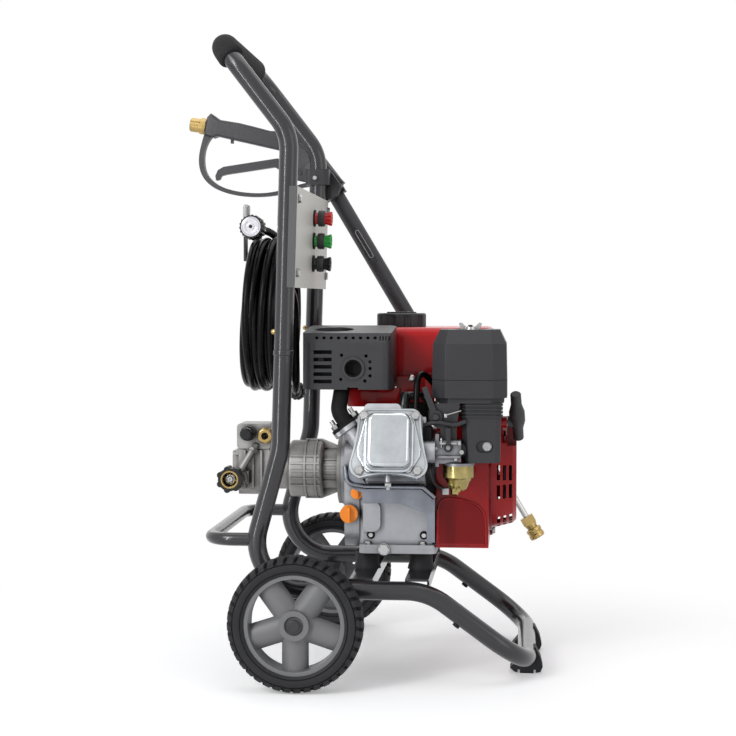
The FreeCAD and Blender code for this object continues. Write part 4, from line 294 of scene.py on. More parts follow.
def soft_shading():
    """Geometry nodes that weld a node's seams and shade its round faces smooth."""
    name = "soft_shading"
    if name in bpy.data.node_groups:
        return bpy.data.node_groups[name]
    group = bpy.data.node_groups.new(name, "GeometryNodeTree")
    for in_out in ("INPUT", "OUTPUT"):
        group.interface.new_socket(name="Geometry", in_out=in_out, socket_type="NodeSocketGeometry")
    start = add(group, "NodeGroupInput")
    end = add(group, "NodeGroupOutput")
    weld = add(group, "GeometryNodeMergeByDistance", Distance=WELD_GAP)
    angle = add(group, "GeometryNodeInputMeshEdgeAngle")
    round_edge = add(group, "FunctionNodeCompare", data_type="FLOAT", operation="LESS_THAN", B=SMOOTH_BELOW)
    faces = add(group, "GeometryNodeSetShadeSmooth", domain="FACE")
    edges = add(group, "GeometryNodeSetShadeSmooth", domain="EDGE")
    link = group.links.new
    link(start.outputs[0], weld.inputs["Geometry"])
    link(weld.outputs["Geometry"], faces.inputs["Geometry"])
    link(faces.outputs["Geometry"], edges.inputs["Geometry"])
    link(angle.outputs["Unsigned Angle"], round_edge.inputs["A"])
    link(round_edge.outputs["Result"], edges.inputs["Shade Smooth"])
    link(edges.outputs["Geometry"], end.inputs[0])
    return group


def soften(piece, edge):
    """Weld and smooth a CAD node, and break its sharp edges as the real ones are."""
    piece.modifiers.new("weld", "NODES").node_group = soft_shading()
    if edge > 0:
        bevel = piece.modifiers.new("broken_edges", "BEVEL")
        bevel.width = edge
        bevel.segments = 2
        bevel.limit_method = "ANGLE"
        bevel.angle_limit = math.radians(35)
        bevel.use_clamp_overlap = True
        bevel.harden_normals = False


def coat_with(piece, material):
    piece.data.materials.clear()
    piece.data.materials.append(material)


class WASHER_OT_finishes(bpy.types.Operator):
    """Paint, plating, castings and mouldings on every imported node"""
    bl_idname = "washer.finishes"
    bl_label = "Finishes"

    def execute(self, context):
        for row, names in FINISH_OF.items():
            for name in names:
                coat_with(NODES[name], finish(row))
                soften(NODES[name], edge=0.0 if name in FLAT_SHEETS else BROKEN_EDGE)
        return {"FINISHED"}


# ---------- mesh helpers
def new_piece(name, mesh, material, body, crease=40):
    """Mesh as a piece on a body, smooth across every edge flatter than the crease in degrees."""
    piece = bpy.data.objects.new(name, mesh)
    bpy.context.scene.collection.objects.link(piece)
    coat_with(piece, material)
    mesh.shade_smooth()
    mesh.set_sharp_from_angle(angle=math.radians(crease))
    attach(piece, body)
    return piece


def skin_of(build, name):
    """Mesh made by a function that fills a bmesh."""
    shell = bmesh.new()
    build(shell)
    bmesh.ops.recalc_face_normals(shell, faces=shell.faces)
    mesh = bpy.data.meshes.new(name)
    shell.to_mesh(mesh)
    shell.free()
    return mesh


def detail(name, build, row, body="machine"):
    """Small piece with a row of FINISHES, made by a function that fills a bmesh."""
    piece = new_piece(name, skin_of(build, name), finish(row), body)
    return piece


def turn(shell, base, axis, profile, steps=48, lobes=0, depth=0.0, above=0.0, closed=False, phase=0.0):
    """Skin turned about an axis from (distance, radius) pairs in mm; radii past `above` may carry lobes."""
    along = Vector(axis).normalized()
    side = along.orthogonal().normalized()
    up = along.cross(side)
    rings = []
    for distance, radius in profile:
        ring = []
        for i in range(steps):
            angle = 2 * math.pi * i / steps + phase
            reach = radius
            if lobes and radius > above:
                reach -= depth * (0.5 - 0.5 * math.cos(lobes * angle))
            out = side * math.cos(angle) + up * math.sin(angle)
            ring.append(shell.verts.new((Vector(base) + along * distance + out * reach) * MM))
        rings.append(ring)
    pairs = list(zip(rings, rings[1:])) + ([(rings[-1], rings[0])] if closed else [])
    for near, far in pairs:
        for i in range(steps):
            k = (i + 1) % steps
            shell.faces.new((near[i], near[k], far[k], far[i]))
    if not closed:
        shell.faces.new(rings[0])
        shell.faces.new(rings[-1])


def hex_bolt(shell, place, axis, across, height, flange=0.0):
    """Hexagon head with a chamfered crown, sunk a sliver in its seat, with a flange where one is given."""
    radius = across / math.sqrt(3)
    if flange:
        turn(shell, place, axis, [(-0.6, flange / 2 - 0.4), (0.9, flange / 2), (1.5, flange / 2 - 0.3),
                                  (2.0, radius)], steps=32)
    turn(shell, place, axis, [(0.2, radius), (height - 0.7, radius), (height, radius * 0.86)],
         steps=6, phase=0.3)
    turn(shell, place, axis, [(height - 0.4, radius * 0.80), (height + 0.25, radius * 0.76),
                              (height + 0.25, radius * 0.3)], steps=24)


def brick(shell, low, high, cut):
    """Block with cut edges between two corners in mm."""
    low, high = Vector(low), Vector(high)
    made = bmesh.ops.create_cube(shell, size=1.0)["verts"]
    for vert in made:
        vert.co = Vector([(low[i] + high[i]) / 2 + vert.co[i] * (high[i] - low[i]) for i in range(3)]) * MM
    edges = list(dict.fromkeys(edge for vert in made for edge in vert.link_edges))
    bmesh.ops.bevel(shell, geom=edges, offset=cut * MM, segments=3, profile=0.5, affect="EDGES")


def bar(shell, start, end, radius, steps=16):
    """Round bar with softened ends."""
    start, end = Vector(start), Vector(end)
    long = (end - start).length
    turn(shell, start, end - start, [(0, radius * 0.7), (radius * 0.3, radius),
                                     (long - radius * 0.3, radius), (long, radius * 0.7)], steps=steps)


def block(name, low, high, cut, row):
    """One block with cut edges as a piece."""
    return detail(name, lambda shell: brick(shell, low, high, cut), row)


def heads(name, bolts, row="zinc_bolt"):
    """Hexagon heads as one piece, from (place, axis, across, height, flange)."""
    def build(shell):
        for bolt in bolts:
            hex_bolt(shell, *bolt)
    return detail(name, build, row)


def turned(name, skins, row, body="machine"):
    """Turned skins as one piece, from (base, axis, profile, settings of turn())."""
    def build(shell):
        for base, axis, profile, settings in skins:
            turn(shell, base, axis, profile, **settings)
    return detail(name, build, row, body)


def grid_mesh(name, rows, closed_rows=False, closed_columns=False):
    """Quads over rows of points."""
    count = len(rows[0])
    points = [point for row in rows for point in row]
    faces = []
    for i in range(len(rows) - (0 if closed_rows else 1)):
        for j in range(count - (0 if closed_columns else 1)):
            a, b = i * count, ((i + 1) % len(rows)) * count
            k = (j + 1) % count
            faces.append((a + j, a + k, b + k, b + j))
    mesh = bpy.data.meshes.new(name)
    mesh.from_pydata(points, [], faces)
    mesh.update()
    return mesh


# ---------- tyres
CROWN_FALL = 4 * MM  # fall of the tread from its middle to its shoulder
LUG_STEPS = 16  # steps round the tyre for each lug
LUG_GAP = (0.34, 0.66)  # part of a lug's pitch that is open
LUG_LEAN = 0.35  # pitches that a lug leans by between the middle and the shoulder
LUGS_FROM, LUGS_RISE = 0.30, 0.06  # where the gaps start and how fast they deepen, across the tread
GROOVE_AT, GROOVE_HALF = 0.22, 0.05  # the groove round each side of the middle
GROOVE_DEPTH = 0.7  # of a lug's height
LUG_FOOT = 0.19  # how far down the wall a gap reaches
SHOULDER_TUCK = 0.985  # width of the wall beside the tread's own
# Down the wall from the shoulder (0) to the seat (1), with how proud it stands in mm.
TYRE_WALL = ((0.10, 0.4), (0.20, 0.7), (0.225, -0.6), (0.255, -0.6), (0.28, 0.8), (0.42, 1.1), (0.60, 0.9),
             (0.72, 0.3), (0.745, -0.9), (0.79, -0.9), (0.815, 0.2), (0.90, -0.6), (1.0, -1.8))


def lug_gap(angle, lugs, across):
    """1 between two lugs and 0 on a lug; the lugs of one side stand half a pitch off the other's."""
    place = (angle * lugs / (2 * math.pi) + (0.5 if across > 0 else 0.0) + LUG_LEAN * abs(across)) % 1.0
    return 1.0 if LUG_GAP[0] < place < LUG_GAP[1] else 0.0


def tyre_mesh(name, centre, half_width, radius, seat_radius, lugs, depth):
    """Round tyre with offset shoulder lugs, swept about the axle."""
    section = [k / 16 - 1 for k in range(33)]
    wall_height = radius - CROWN_FALL - seat_radius
    steps = lugs * LUG_STEPS
    rows = []
    for i in range(steps):
        angle = 2 * math.pi * i / steps
        tread = []
        for across in section:
            crown = radius - CROWN_FALL * abs(across) ** 4
            edge = min(1.0, max(0.0, (abs(across) - LUGS_FROM) / LUGS_RISE))
            groove = 0.0 if abs(abs(across) - GROOVE_AT) > GROOVE_HALF else GROOVE_DEPTH
            cut = max(lug_gap(angle, lugs, across) * edge, groove) * depth
            tread.append(Vector((0, across * half_width, crown - cut)))
        walls = []
        for shoulder, sign in ((tread[0], -1), (tread[-1], 1)):
            gap = lug_gap(angle, lugs, sign) * depth
            wall = []
            for down, proud in TYRE_WALL:
                y = shoulder.y * SHOULDER_TUCK + sign * (proud * MM - gap * max(0.0, 1 - down / LUG_FOOT))
                z = min(seat_radius + wall_height * (1 - down), shoulder.z - 0.4 * MM)
                wall.append(Vector((0, y, z)))
            walls.append(wall)
        rows.append([Vector((p.z * math.sin(angle), p.y, p.z * math.cos(angle))) + centre
                     for p in list(reversed(walls[0])) + tread + walls[1]])
    return grid_mesh(name, rows, closed_rows=True)


class WASHER_OT_tyres(bpy.types.Operator):
    """Lugged rubber tyres on both wheels"""
    bl_idname = "washer.tyres"
    bl_label = "Tyres"

    def execute(self, context):
        sizes = context.scene.washer_tyre
        for side in ("near", "far"):
            low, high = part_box("tyre_" + side)
            rim_low, rim_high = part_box("wheel_rim_" + side)
            centre = (low + high) / 2
            radius = (high.z - low.z) / 2
            seat = (rim_high.z - rim_low.z) / 2 - 2 * MM
            mesh = tyre_mesh("lugged_tyre_" + side, centre, (high.y - low.y) / 2, radius, seat,
                             sizes.lugs, sizes.depth)
            piece = new_piece("lugged_tyre_" + side, mesh, finish("tyre_rubber"), side + "_wheel",
                              crease=32)
            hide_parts("tyre_" + side)
        return {"FINISHED"}


# ---------- hose
HOOK_REST = 76.5 * MM  # the hook's cradle above the middle of the coil
COLUMNS = 4  # turns side by side in a layer on the hook
PITCH, LAYER_STEP = 1.13, 0.96  # between turns and between layers, in hose diameters
INNER_COLUMN = 1.6  # where the innermost turn ends
STEPS_A_TURN = 16
DROP_STEP = 4  # step of the innermost turn that leads into the drop
# From the front coupling to the first turn, and (in mm) from the last turn down to the rear coupling.
HOSE_START = [(-0.133, -0.072, 0.614), (-0.1326, -0.052, 0.6136), (-0.1305, -0.034, 0.6135),
              (-0.1230, -0.008, 0.6135)]
HOSE_DROP = [(-103, -90, 505), (-99, -80, 524), (-95, -62, 534), (-91, -40, 535.5), (-88, -20, 526),
             (-86.5, -6, 510), (-86, 0, 488), (-86, 0, 461), (-86, 1, 435), (-86.5, 8, 409),
             (-88.5, 24, 389), (-92.5, 45, 380.5), (-95, 62, 379), (-95, 76, 379)]


def in_metres(points):
    return [Vector(point) * MM for point in points]


def hose_curve(name, points, diameter):
    curve = bpy.data.curves.new(name, "CURVE")
    curve.dimensions = "3D"
    curve.bevel_depth = diameter / 2
    curve.bevel_resolution = 5
    curve.use_fill_caps = True
    spline = curve.splines.new("NURBS")
    spline.points.add(len(points) - 1)
    for knot, point in zip(spline.points, points):
        knot.co = (*point, 1.0)
    spline.order_u = 3
    spline.use_endpoint_u = True
    spline.resolution_u = 5
    return curve


def laid_turns(turns, diameter):
    """Each turn's place along the hook, top, bottom, twist and lean, none quite like the next."""
    low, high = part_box("hose_coil")
    rest = (low.z + high.z) / 2 + HOOK_REST
    laid = []
    for lap in range(turns + 1):
        layer, place = divmod(lap, COLUMNS)
        column = COLUMNS - 1 - place if layer % 2 == 0 else place
        if lap == turns:
            column = INNER_COLUMN
        x = low.x + 0.65 * diameter + column * PITCH * diameter + 0.0010 * math.sin(lap * 2.3)
        top = rest + diameter * 0.5 + layer * diameter * LAYER_STEP + 0.0006 * math.sin(lap * 1.7)
        bottom = low.z + 0.006 + 0.011 * (0.5 + 0.5 * math.sin(lap * 1.9 + 0.6))
        twist = 0.004 * column / (COLUMNS - 1)
        lean = -0.014 + 0.012 * column / (COLUMNS - 1) + 0.002 * math.sin(lap * 3.1)
        laid.append((x, top, bottom, twist, lean))
    return laid


def hose_points(turns, diameter):
    """Control points: front end, turns over the hook from the outer layer inwards, drop to the rear end."""
    laid = laid_turns(turns, diameter)
    points = [Vector(point) for point in HOSE_START]
    for step in range(turns * STEPS_A_TURN - 1, DROP_STEP - 1, -1):
        lap, part = divmod(step, STEPS_A_TURN)
        share = part / STEPS_A_TURN
        share = share * share * (3 - 2 * share)
        x, top, bottom, twist, lean = [a + (b - a) * share for a, b in zip(laid[lap], laid[lap + 1])]
        angle = 2 * math.pi * part / STEPS_A_TURN
        radius = (top - bottom) / 2
        aside = lean * (1 - math.cos(angle)) / 2 - twist * math.sin(angle)
        points.append(Vector((x + aside, -radius * math.sin(angle),
                              (top + bottom) / 2 + radius * math.cos(angle))))
    return points + in_metres(HOSE_DROP)


class WASHER_OT_hose(bpy.types.Operator):
    """High-pressure hose coiled over the hook"""
    bl_idname = "washer.hose"
    bl_label = "Hose"

    def execute(self, context):
        sizes = context.scene.washer_hose
        points = hose_points(sizes.turns, sizes.diameter)
        curve = hose_curve("pressure_hose", points, sizes.diameter)
        piece = bpy.data.objects.new("pressure_hose", curve)
        context.scene.collection.objects.link(piece)
        coat_with(piece, finish("hose_rubber"))
        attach(piece, "machine")
        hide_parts("hose_coil", "hose_tail")
        ends = hose_ends()
        return {"FINISHED"}


def hose_ends():
    """Crimped ferrules and swivel nuts on both ends of the hose."""
    front, front_axis = (-132.18, -48.06, 612.78), (-0.0453, -0.9968, 0.068)
    rear, rear_axis = (-95, 52, 379), (0, 1, 0)
    crimp = [(0, 6.2), (0, 8.4), (3, 8.8), (5, 7.9), (7, 8.8), (9, 7.9), (11, 8.8), (13, 7.9), (15, 8.8),
             (21, 8.8), (21, 11), (24.5, 11)]
    front_nut = [(24, 10), (24, 15.2), (26, 17.2), (50.5, 17.2), (52.2, 15.6), (52.2, 14.0)]
    rear_nut = [(24, 8), (24, 11.6), (25.5, 13), (49, 13), (51.5, 11.2), (53.5, 11.2), (53.5, 6), (48, 5)]
    face = [(51.6, 13.9), (53.2, 13.7), (53.2, 12.5), (52.5, 12.1), (54.0, 11.3), (54.0, 8.2), (53.0, 7.7),
            (53.0, 4.8), (54.0, 4.3), (54.0, 2.6), (51.8, 2.3)]
    pieces = [
        turned("hose_ferrules", [(front, front_axis, crimp, {}), (rear, rear_axis, crimp, {})],
               "heat_black"),
        turned("hose_nut_front", [(front, front_axis, front_nut,
                                   dict(steps=144, lobes=18, depth=1.7, above=16))],
               "gloss_black"),
        turned("hose_nut_rear", [(rear, rear_axis, rear_nut,
                                  dict(steps=96, lobes=12, depth=1.1, above=11.5))],
               "gloss_black"),
        turned("hose_coupling_face", [(front, front_axis, face, dict(steps=64))],
               "chrome")]
    for piece in pieces:
        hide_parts("hose_fittings")
    return pieces


# ---------- small hoses and wires
def line_piece(name, points, diameter, row, body="machine", closed=False):
    """Round line along NURBS control points given in mm."""
    curve = hose_curve(name, in_metres(points), diameter * MM)
    if closed:
        curve.splines[0].use_endpoint_u = False
        curve.splines[0].use_cyclic_u = True
    piece = bpy.data.objects.new(name, curve)
    bpy.context.scene.collection.objects.link(piece)
    coat_with(piece, finish(row))
    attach(piece, body)
    return piece


class WASHER_OT_engine_hoses(bpy.types.Operator):
    """Fuel hose, crankcase breather hose, control cable and ignition lead"""
    bl_idname = "washer.engine_hoses"
    bl_label = "Engine hoses"

    def execute(self, context):
        fuel = [(100, -60, 385), (100, -80, 385), (104, -104, 380), (128, -124, 364), (136, -128, 345),
                (136, -126, 327)]
        breather = [(96.5, -134.5, 367.5), (96.5, -128, 386), (97, -120, 408), (104, -107, 416),
                    (115, -92, 404), (123, -80, 393)]
        cable = [(109, -150, 346), (122, -150.5, 352), (138, -151, 349), (150, -149.5, 346),
                 (164, -146, 352)]
        lead = [(112, -141, 330), (116, -150, 312), (115, -146, 286), (120, -122, 264), (127, -102, 258),
                (133, -101, 254)]
        for piece in (line_piece("fuel_hose", fuel, 7.2, "hose_rubber"),
                      line_piece("breather_hose", breather, 8.4, "hose_rubber")):
            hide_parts("fuel_hoses")
        line_piece("control_cable", cable, 6.5, "black_moulding")
        line_piece("ignition_lead", lead, 5.0, "black_moulding")
        return {"FINISHED"}


# ---------- small metal and moulded pieces
class WASHER_OT_carburettor_links(bpy.types.Operator):
    """Links, stops, screws, spacer and plug about the carburettor"""
    bl_idname = "washer.carburettor_links"
    bl_label = "Carburettor links"

    def execute(self, context):
        def links(shell):
            bar(shell, (138.5, -155, 361), (158, -150, 366.5), 0.8, steps=10)
            brick(shell, (135.5, -156.5, 357.5), (139.5, -152.5, 362.5), 0.6)
            brick(shell, (129, -154.2, 321), (157.5, -151.7, 324), 0.7)
            bar(shell, (131.5, -153, 316), (131.5, -153, 330), 1.6, steps=12)
            bar(shell, (155.5, -156.5, 322.5), (155.5, -151, 322.5), 2.6, steps=16)

        # Insulator block, its near black partly the real part and partly painted shade beside the head.
        block("carburettor_spacer", (106, -156, 288), (118.5, -122, 344), 1.5, "soot_black")
        detail("carburettor_links", links, "zinc_bolt")
        heads("carburettor_screws", [((159.0, -151.8, 311), NEAR, 6.5, 4.0),
                                     ((124.5, -151.8, 316), NEAR, 5.5, 4.0),
                                     ((151.0, -151.8, 301), NEAR, 5.0, 3.0)])
        heads("bowl_drain_screws", [((144.5, -146.9, 267.4), (-0.35, -0.8, -0.45), 7.0, 5.0, 8.5),
                                    ((154.5, -147.9, 261.0), (0.0, -0.9, -0.4), 6.5, 4.5, 8.0)],
              "yellow_zinc")
        block("ignition_plug", (130.5, -105, 248), (139.5, -98.2, 256.5), 1.0, "white_nylon")
        return {"FINISHED"}


class WASHER_OT_bolts(bpy.types.Operator):
    """Two bolts in their wells on the engine base, and the stud and nut under the valve cover"""
    bl_idname = "washer.bolts"
    bl_label = "Bolts"

    def execute(self, context):
        across = (31.3, 104.9)
        well = [(0, 5.8), (1.0, 5.8), (1.4, 5.2), (0.9, 4.4), (0.2, 4.2)]

        def bolts(shell):
            for x in across:
                hex_bolt(shell, (x, -92.6, 190.0), NEAR, 6.5, 4.0)
            bar(shell, (62.6, -186, 277), (62.6, -186, 262), 2.6)
            hex_bolt(shell, (62.6, -186, 272), (0, 0, -1), 8.0, 5.0)

        detail("base_bolts", bolts, "zinc_bolt")
        turned("bolt_wells", [((x, -91.8, 190.0), NEAR, well, dict(steps=32)) for x in across],
               "gloss_black")
        return {"FINISHED"}


class WASHER_OT_cowl_trim(bpy.types.Operator):
    """Rolled edge, skirt and bolt of the red cowl, a dark panel and a black block as painted shade in and
    under it, and the spark plug's boot and lead
    """
    bl_idname = "washer.cowl_trim"
    bl_label = "Cowl trim"

    def execute(self, context):
        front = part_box("fan_housing")[0].y / MM
        edge = [(124.6, 180), (124.6, 224), (125.5, 234), (130, 241), (140, 243.5), (156, 241), (172, 237),
                (182, 231), (188, 222), (190.5, 208), (190.5, 180)]
        outline = [(126, 180), (126, 231), (130, 239), (140, 242), (156, 239.5), (171, 235.5), (180, 230),
                   (186.5, 221), (189, 208), (189, 180)]
        boot = [(0, 7.0), (1, 8.0), (12, 8.6), (13, 9.6), (17, 9.6), (18, 8.4), (34, 7.4), (37, 5.0)]
        elbow = [(0, 6.0), (1, 6.6), (14, 5.4), (16, 3.4)]
        lead = [(92, -103, 385), (102, -100, 387), (110, -92, 380), (114, -80, 366), (116, -68, 350)]

        def panel(shell):
            inner, outer = ([shell.verts.new(Vector((x, front + depth, z)) * MM) for x, z in outline]
                            for depth in (1.2, -0.25))
            shell.faces.new(inner)
            shell.faces.new(outer)
            for k in range(len(outline)):
                j = (k + 1) % len(outline)
                shell.faces.new((inner[k], inner[j], outer[j], outer[k]))

        line_piece("cowl_rolled_edge", [(x, front + 0.6, z) for x, z in edge], 2.8, "cowl_red")
        block("cowl_skirt", (-4, -66, 366), (70, -40, 392), 2.0, "cowl_red")
        # Thin dark red sheet in the arch of the fan housing: painted shade.
        detail("cowl_panel", panel, "cowl_shade")
        # Black block under the cowl: painted shade where the gap lies in shadow.
        block("cowl_baffle", (40, -62, 340), (122, -57, 374), 1.5, "soot_black")
        heads("cowl_bolt", [((86, -64.2, 406), NEAR, 6.0, 3.5, 9.5)])
        turned("plug_boot", [((77, -112, 352), (0.10, 0.18, 1), boot, dict(steps=40)),
                             ((80, -107, 383), (0.9, 0.3, 0.1), elbow, dict(steps=32))],
               "gloss_black")
        line_piece("plug_lead", lead, 6.0, "hose_rubber")
        return {"FINISHED"}


class WASHER_OT_pump_trim(bpy.types.Operator):
    """Brass seat, strainer and bypass pipe of the pump"""
    bl_idname = "washer.pump_trim"
    bl_label = "Pump trim"

    def execute(self, context):
        axis_x, axis_z = -171.0, 262.0  # the swivel's own axis; the lobed nut's box is not centred on it
        mouth = Vector((axis_x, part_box("inlet_nut")[0].y / MM, axis_z))
        seat = [(0, 12.7), (0, 10.4), (2, 9.8), (12.5, 9.8), (12.5, 12.8), (2, 12.8)]
        strainer = [(0, 9.2), (3.0, 9.2), (4.0, 8.4), (4.4, 6.6), (3.4, 6.0), (3.4, 4.2), (5.4, 3.4),
                    (5.4, 1.6), (4.6, 1.2)]

        def pipe(shell):
            bar(shell, (-164, -43, 266), (-139, -24.5, 309), 4.8, steps=24)
            turn(shell, (-145.5, -29.3, 297.8), (25, 18.5, 43),
                 [(0, 4.6), (1.5, 6.6), (6, 6.6), (7.5, 4.6)], steps=6)

        turned("inlet_seat", [(mouth + Vector((0, 1.0, 0)), (0, 1, 0), seat, dict(steps=64, closed=True))],
               "brass_metal", body="inlet_swivel")
        turned("inlet_strainer", [(mouth + Vector((0, 12.5, 0)), NEAR, strainer,
                                   dict(steps=96, lobes=6, depth=1.6, above=5.5))],
               "zinc_bolt")
        detail("bypass_pipe", pipe, "pump_casting")
        return {"FINISHED"}


class WASHER_OT_frame_trim(bpy.types.Operator):
    """Hook cap and the bolt of the gun holder's clamp"""
    bl_idname = "washer.frame_trim"
    bl_label = "Frame trim"

    def execute(self, context):
        low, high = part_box("hose_hook")
        tip = Vector((low.x / MM + 1.5, (low.y + high.y) / 2 / MM, high.z / MM))
        block("hook_cap", tip + Vector((-2.7, -11.5, -24)), tip + Vector((5.3, 11.5, 3.0)), 3.8,
              "dipped_vinyl")
        heads("holder_bolt", [((-75.7, 148.2, 700.3), NEAR, 6.5, 4.0, 8.5)])
        return {"FINISHED"}


NOZZLES = (  # word, finish, slot
    ("red", "nozzle_red", "red_plastic"),
    ("green", "nozzle_green", "green_plastic"),
    ("black", "gloss_black", "gloss_black_plastic"))
NOZZLE_LEAN = math.radians(1.7)  # the panel's lean, which the nozzles stand square to
SPOOL = [(0, 6), (1, 6.4), (7, 6.6), (7.5, 9.8), (9, 10.4), (12, 9.6), (17, 8.2), (24, 7.9), (30, 8.6),
         (35, 10.3), (36.5, 10.6), (37.5, 9.8), (37.5, 7.2), (34, 5.6)]
SPOOL_TIP_AT, SPOOL_TIP = 34.5, [(0, 5.2), (1.8, 5.2), (2.4, 4.4), (2.4, 2.0), (1.2, 1.6)]
BAND = [(17.5, 7.5), (17.5, 10.4), (18.5, 11.6), (20.6, 11.2), (22.4, 12.2), (24.2, 11.2), (26.3, 11.6),
        (27.3, 10.4), (27.3, 7.5)]


class WASHER_OT_nozzles(bpy.types.Operator):
    """Spool-shaped quick nozzles, each with its black grommet ring"""
    bl_idname = "washer.nozzles"
    bl_label = "Nozzles"

    def execute(self, context):
        out = Vector((math.cos(NOZZLE_LEAN), 0, -math.sin(NOZZLE_LEAN)))
        for word, row, slot in NOZZLES:
            low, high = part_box("nozzle_" + word)
            base = (low + high) / 2 / MM - out * ((high.x - low.x) / MM / 2)
            body = word + "_nozzle"
            cap = turned("nozzle_spool_" + word,
                         [(base, out, SPOOL, dict(steps=120, lobes=10, depth=1.5, above=8.4)),
                          (base + out * SPOOL_TIP_AT, out, SPOOL_TIP, dict(steps=24))], row, body)
            ring = turned("nozzle_band_" + word,
                          [(base, out, BAND, dict(steps=96, lobes=16, depth=0.6, above=11.4))],
                          "grip_rubber", body)
            for piece in (cap, ring):
                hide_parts("nozzle_" + word)
        return {"FINISHED"}


class WASHER_OT_grip(bpy.types.Operator):
    """Foam sleeve over the cross bar and round into both of its bends"""
    bl_idname = "washer.grip"
    bl_label = "Foam grip"

    def execute(self, context):
        low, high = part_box("handle_grip")
        centre = (low + high) / 2 / MM
        radius = (high.z - low.z) / MM / 2
        bend, half_track, bore = 46.0, 165.0, 12.9  # the tube's bend and half its spread, the foam's bore
        bare_near, bare_far = 27, 84  # degrees of each bend that the foam leaves bare
        arm = Vector((-0.610, 0, 0.7924))  # up the slope of the handle's arms
        arc_steps, run_steps, round_steps, end_length = 18, 90, 48, 5.0
        line = []
        for side, bare in ((-1, bare_near), (1, bare_far)):
            start = math.radians(bare)
            bend_y = side * (half_track - bend)
            arc = []
            for k in range(arc_steps + 1):
                angle = start + (math.pi / 2 - start) * k / arc_steps
                reach = bend * (math.sin(angle) - 1)
                y = bend_y + side * bend * math.cos(angle)
                arc.append(Vector((centre.x, y, centre.z)) + arm * reach)
            line += arc if side < 0 else list(reversed(arc))
        flat = arm.cross(Vector((0, 1, 0))).normalized()
        run = [0.0]
        for a, b in zip(line, line[1:]):
            run.append(run[-1] + (b - a).length)
        straight = run[-1] - 2 * end_length
        ends = [(0.0, bore), (0.0, radius - 3.2), (0.8, radius - 1.6), (2.4, radius - 0.4)]
        profile = ends + [(end_length + straight * k / run_steps, radius) for k in range(run_steps + 1)]
        profile += [(run[-1] - along, reach) for along, reach in reversed(ends)]
        rows = []
        for along, reach in profile:
            k = max(i for i in range(len(run) - 1) if run[i] <= along + 1e-6)
            step = (line[k + 1] - line[k]).normalized()
            point = line[k] + step * (along - run[k])
            out = step.cross(flat)
            rows.append([(point + (flat * math.cos(a) + out * math.sin(a)) * reach) * MM
                         for a in (2 * math.pi * i / round_steps for i in range(round_steps))])
        mesh = grid_mesh("foam_grip", rows, closed_columns=True)
        sleeve = new_piece("foam_grip", mesh, finish("grip_foam"), "machine")
        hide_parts("handle_grip")
        return {"FINISHED"}


class WASHER_OT_gun_trim(bpy.types.Operator):
    """Raised rim of the window in the lance sleeve"""
    bl_idname = "washer.gun_trim"
    bl_label = "Gun trim"

    def execute(self, context):
        slope = math.radians(59.3)  # fall of the lance
        along = Vector((math.cos(slope), 0, -math.sin(slope)))
        across = Vector((math.sin(slope), 0, math.cos(slope)))
        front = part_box("lance_sleeve")[0].y / MM
        centre = Vector((-55.6, front, 686.0)) + along * 98
        half_run, half_wide = 21.0, 3.1  # the window's straight part and its round ends
        sleeve = 12.5  # radius of the sleeve
        steps = 28
        rim = []
        for k in range(steps):
            angle = 2 * math.pi * k / steps
            run = half_run * (1 if math.cos(angle) > 0 else -1)
            wide = half_wide * math.sin(angle)
            drop = sleeve - math.sqrt(sleeve ** 2 - wide ** 2)
            rim.append(centre + along * (run + half_wide * math.cos(angle)) + across * wide
                       + Vector((0, drop, 0)))
        line_piece("sleeve_window_rim", rim, 1.3, "dipped_vinyl", body="spray_gun",
                   closed=True)
        return {"FINISHED"}


# ---------- starter rope
class WASHER_OT_rope(bpy.types.Operator):
    """Rope between the starter cover and its handle"""
    bl_idname = "washer.rope"
    bl_label = "Starter rope"

    def execute(self, context):
        low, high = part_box("starter_rope")
        centre = (low + high) / 2
        radius = (high.z - low.z) / 2
        lay = 6.4  # turn of the strands, for each radius of length
        long_steps, round_steps = 40, 16
        rows = []
        for i in range(long_steps + 1):
            x = low.x + (high.x - low.x) * i / long_steps
            row = []
            for k in range(round_steps):
                angle = 2 * math.pi * k / round_steps
                bulge = radius * (0.90 + 0.10 * abs(math.sin(2 * angle + lay * x / radius)))
                row.append(Vector((x, centre.y + bulge * math.cos(angle),
                                   centre.z + bulge * math.sin(angle))))
            rows.append(row)
        mesh = grid_mesh("rope", rows, closed_columns=True)
        piece = bpy.data.objects.new("rope", mesh)
        context.scene.collection.objects.link(piece)
        coat_with(piece, finish("hose_rubber"))
        mesh.shade_smooth()
        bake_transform(piece)
        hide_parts("starter_rope")
        return {"FINISHED"}


# ---------- stage
FLOOR_HALF = 6.0
FLOOR_FADE = (0.25, 0.85)  # distances between which the floor runs out into white
AIM = (0.0, 0.0, 0.42)
LAMPS = (  # name, place, target, size, which of the studio's powers
    ("key", (-1.6, -2.2, 2.0), AIM, (1.6, 1.6), "key"),
    ("fill", (2.3, -1.5, 1.1), AIM, (1.4, 1.8), "fill"),
    ("top", (0.2, 0.3, 2.6), AIM, (2.4, 2.4), "top"),
    ("back", (-0.8, 2.4, 1.7), AIM, (2.0, 1.4), "fill"),
    ("strip", (-1.25, -1.9, 0.9), (0.0, 0.0, 0.45), (0.10, 1.8), "strip"))
CAMERA_PLACE = (0.243, -2.450, 0.515)
CAMERA_PITCH, CAMERA_YAW = math.radians(87.73), math.radians(5.23)
SENSOR_WIDTH = 36.0


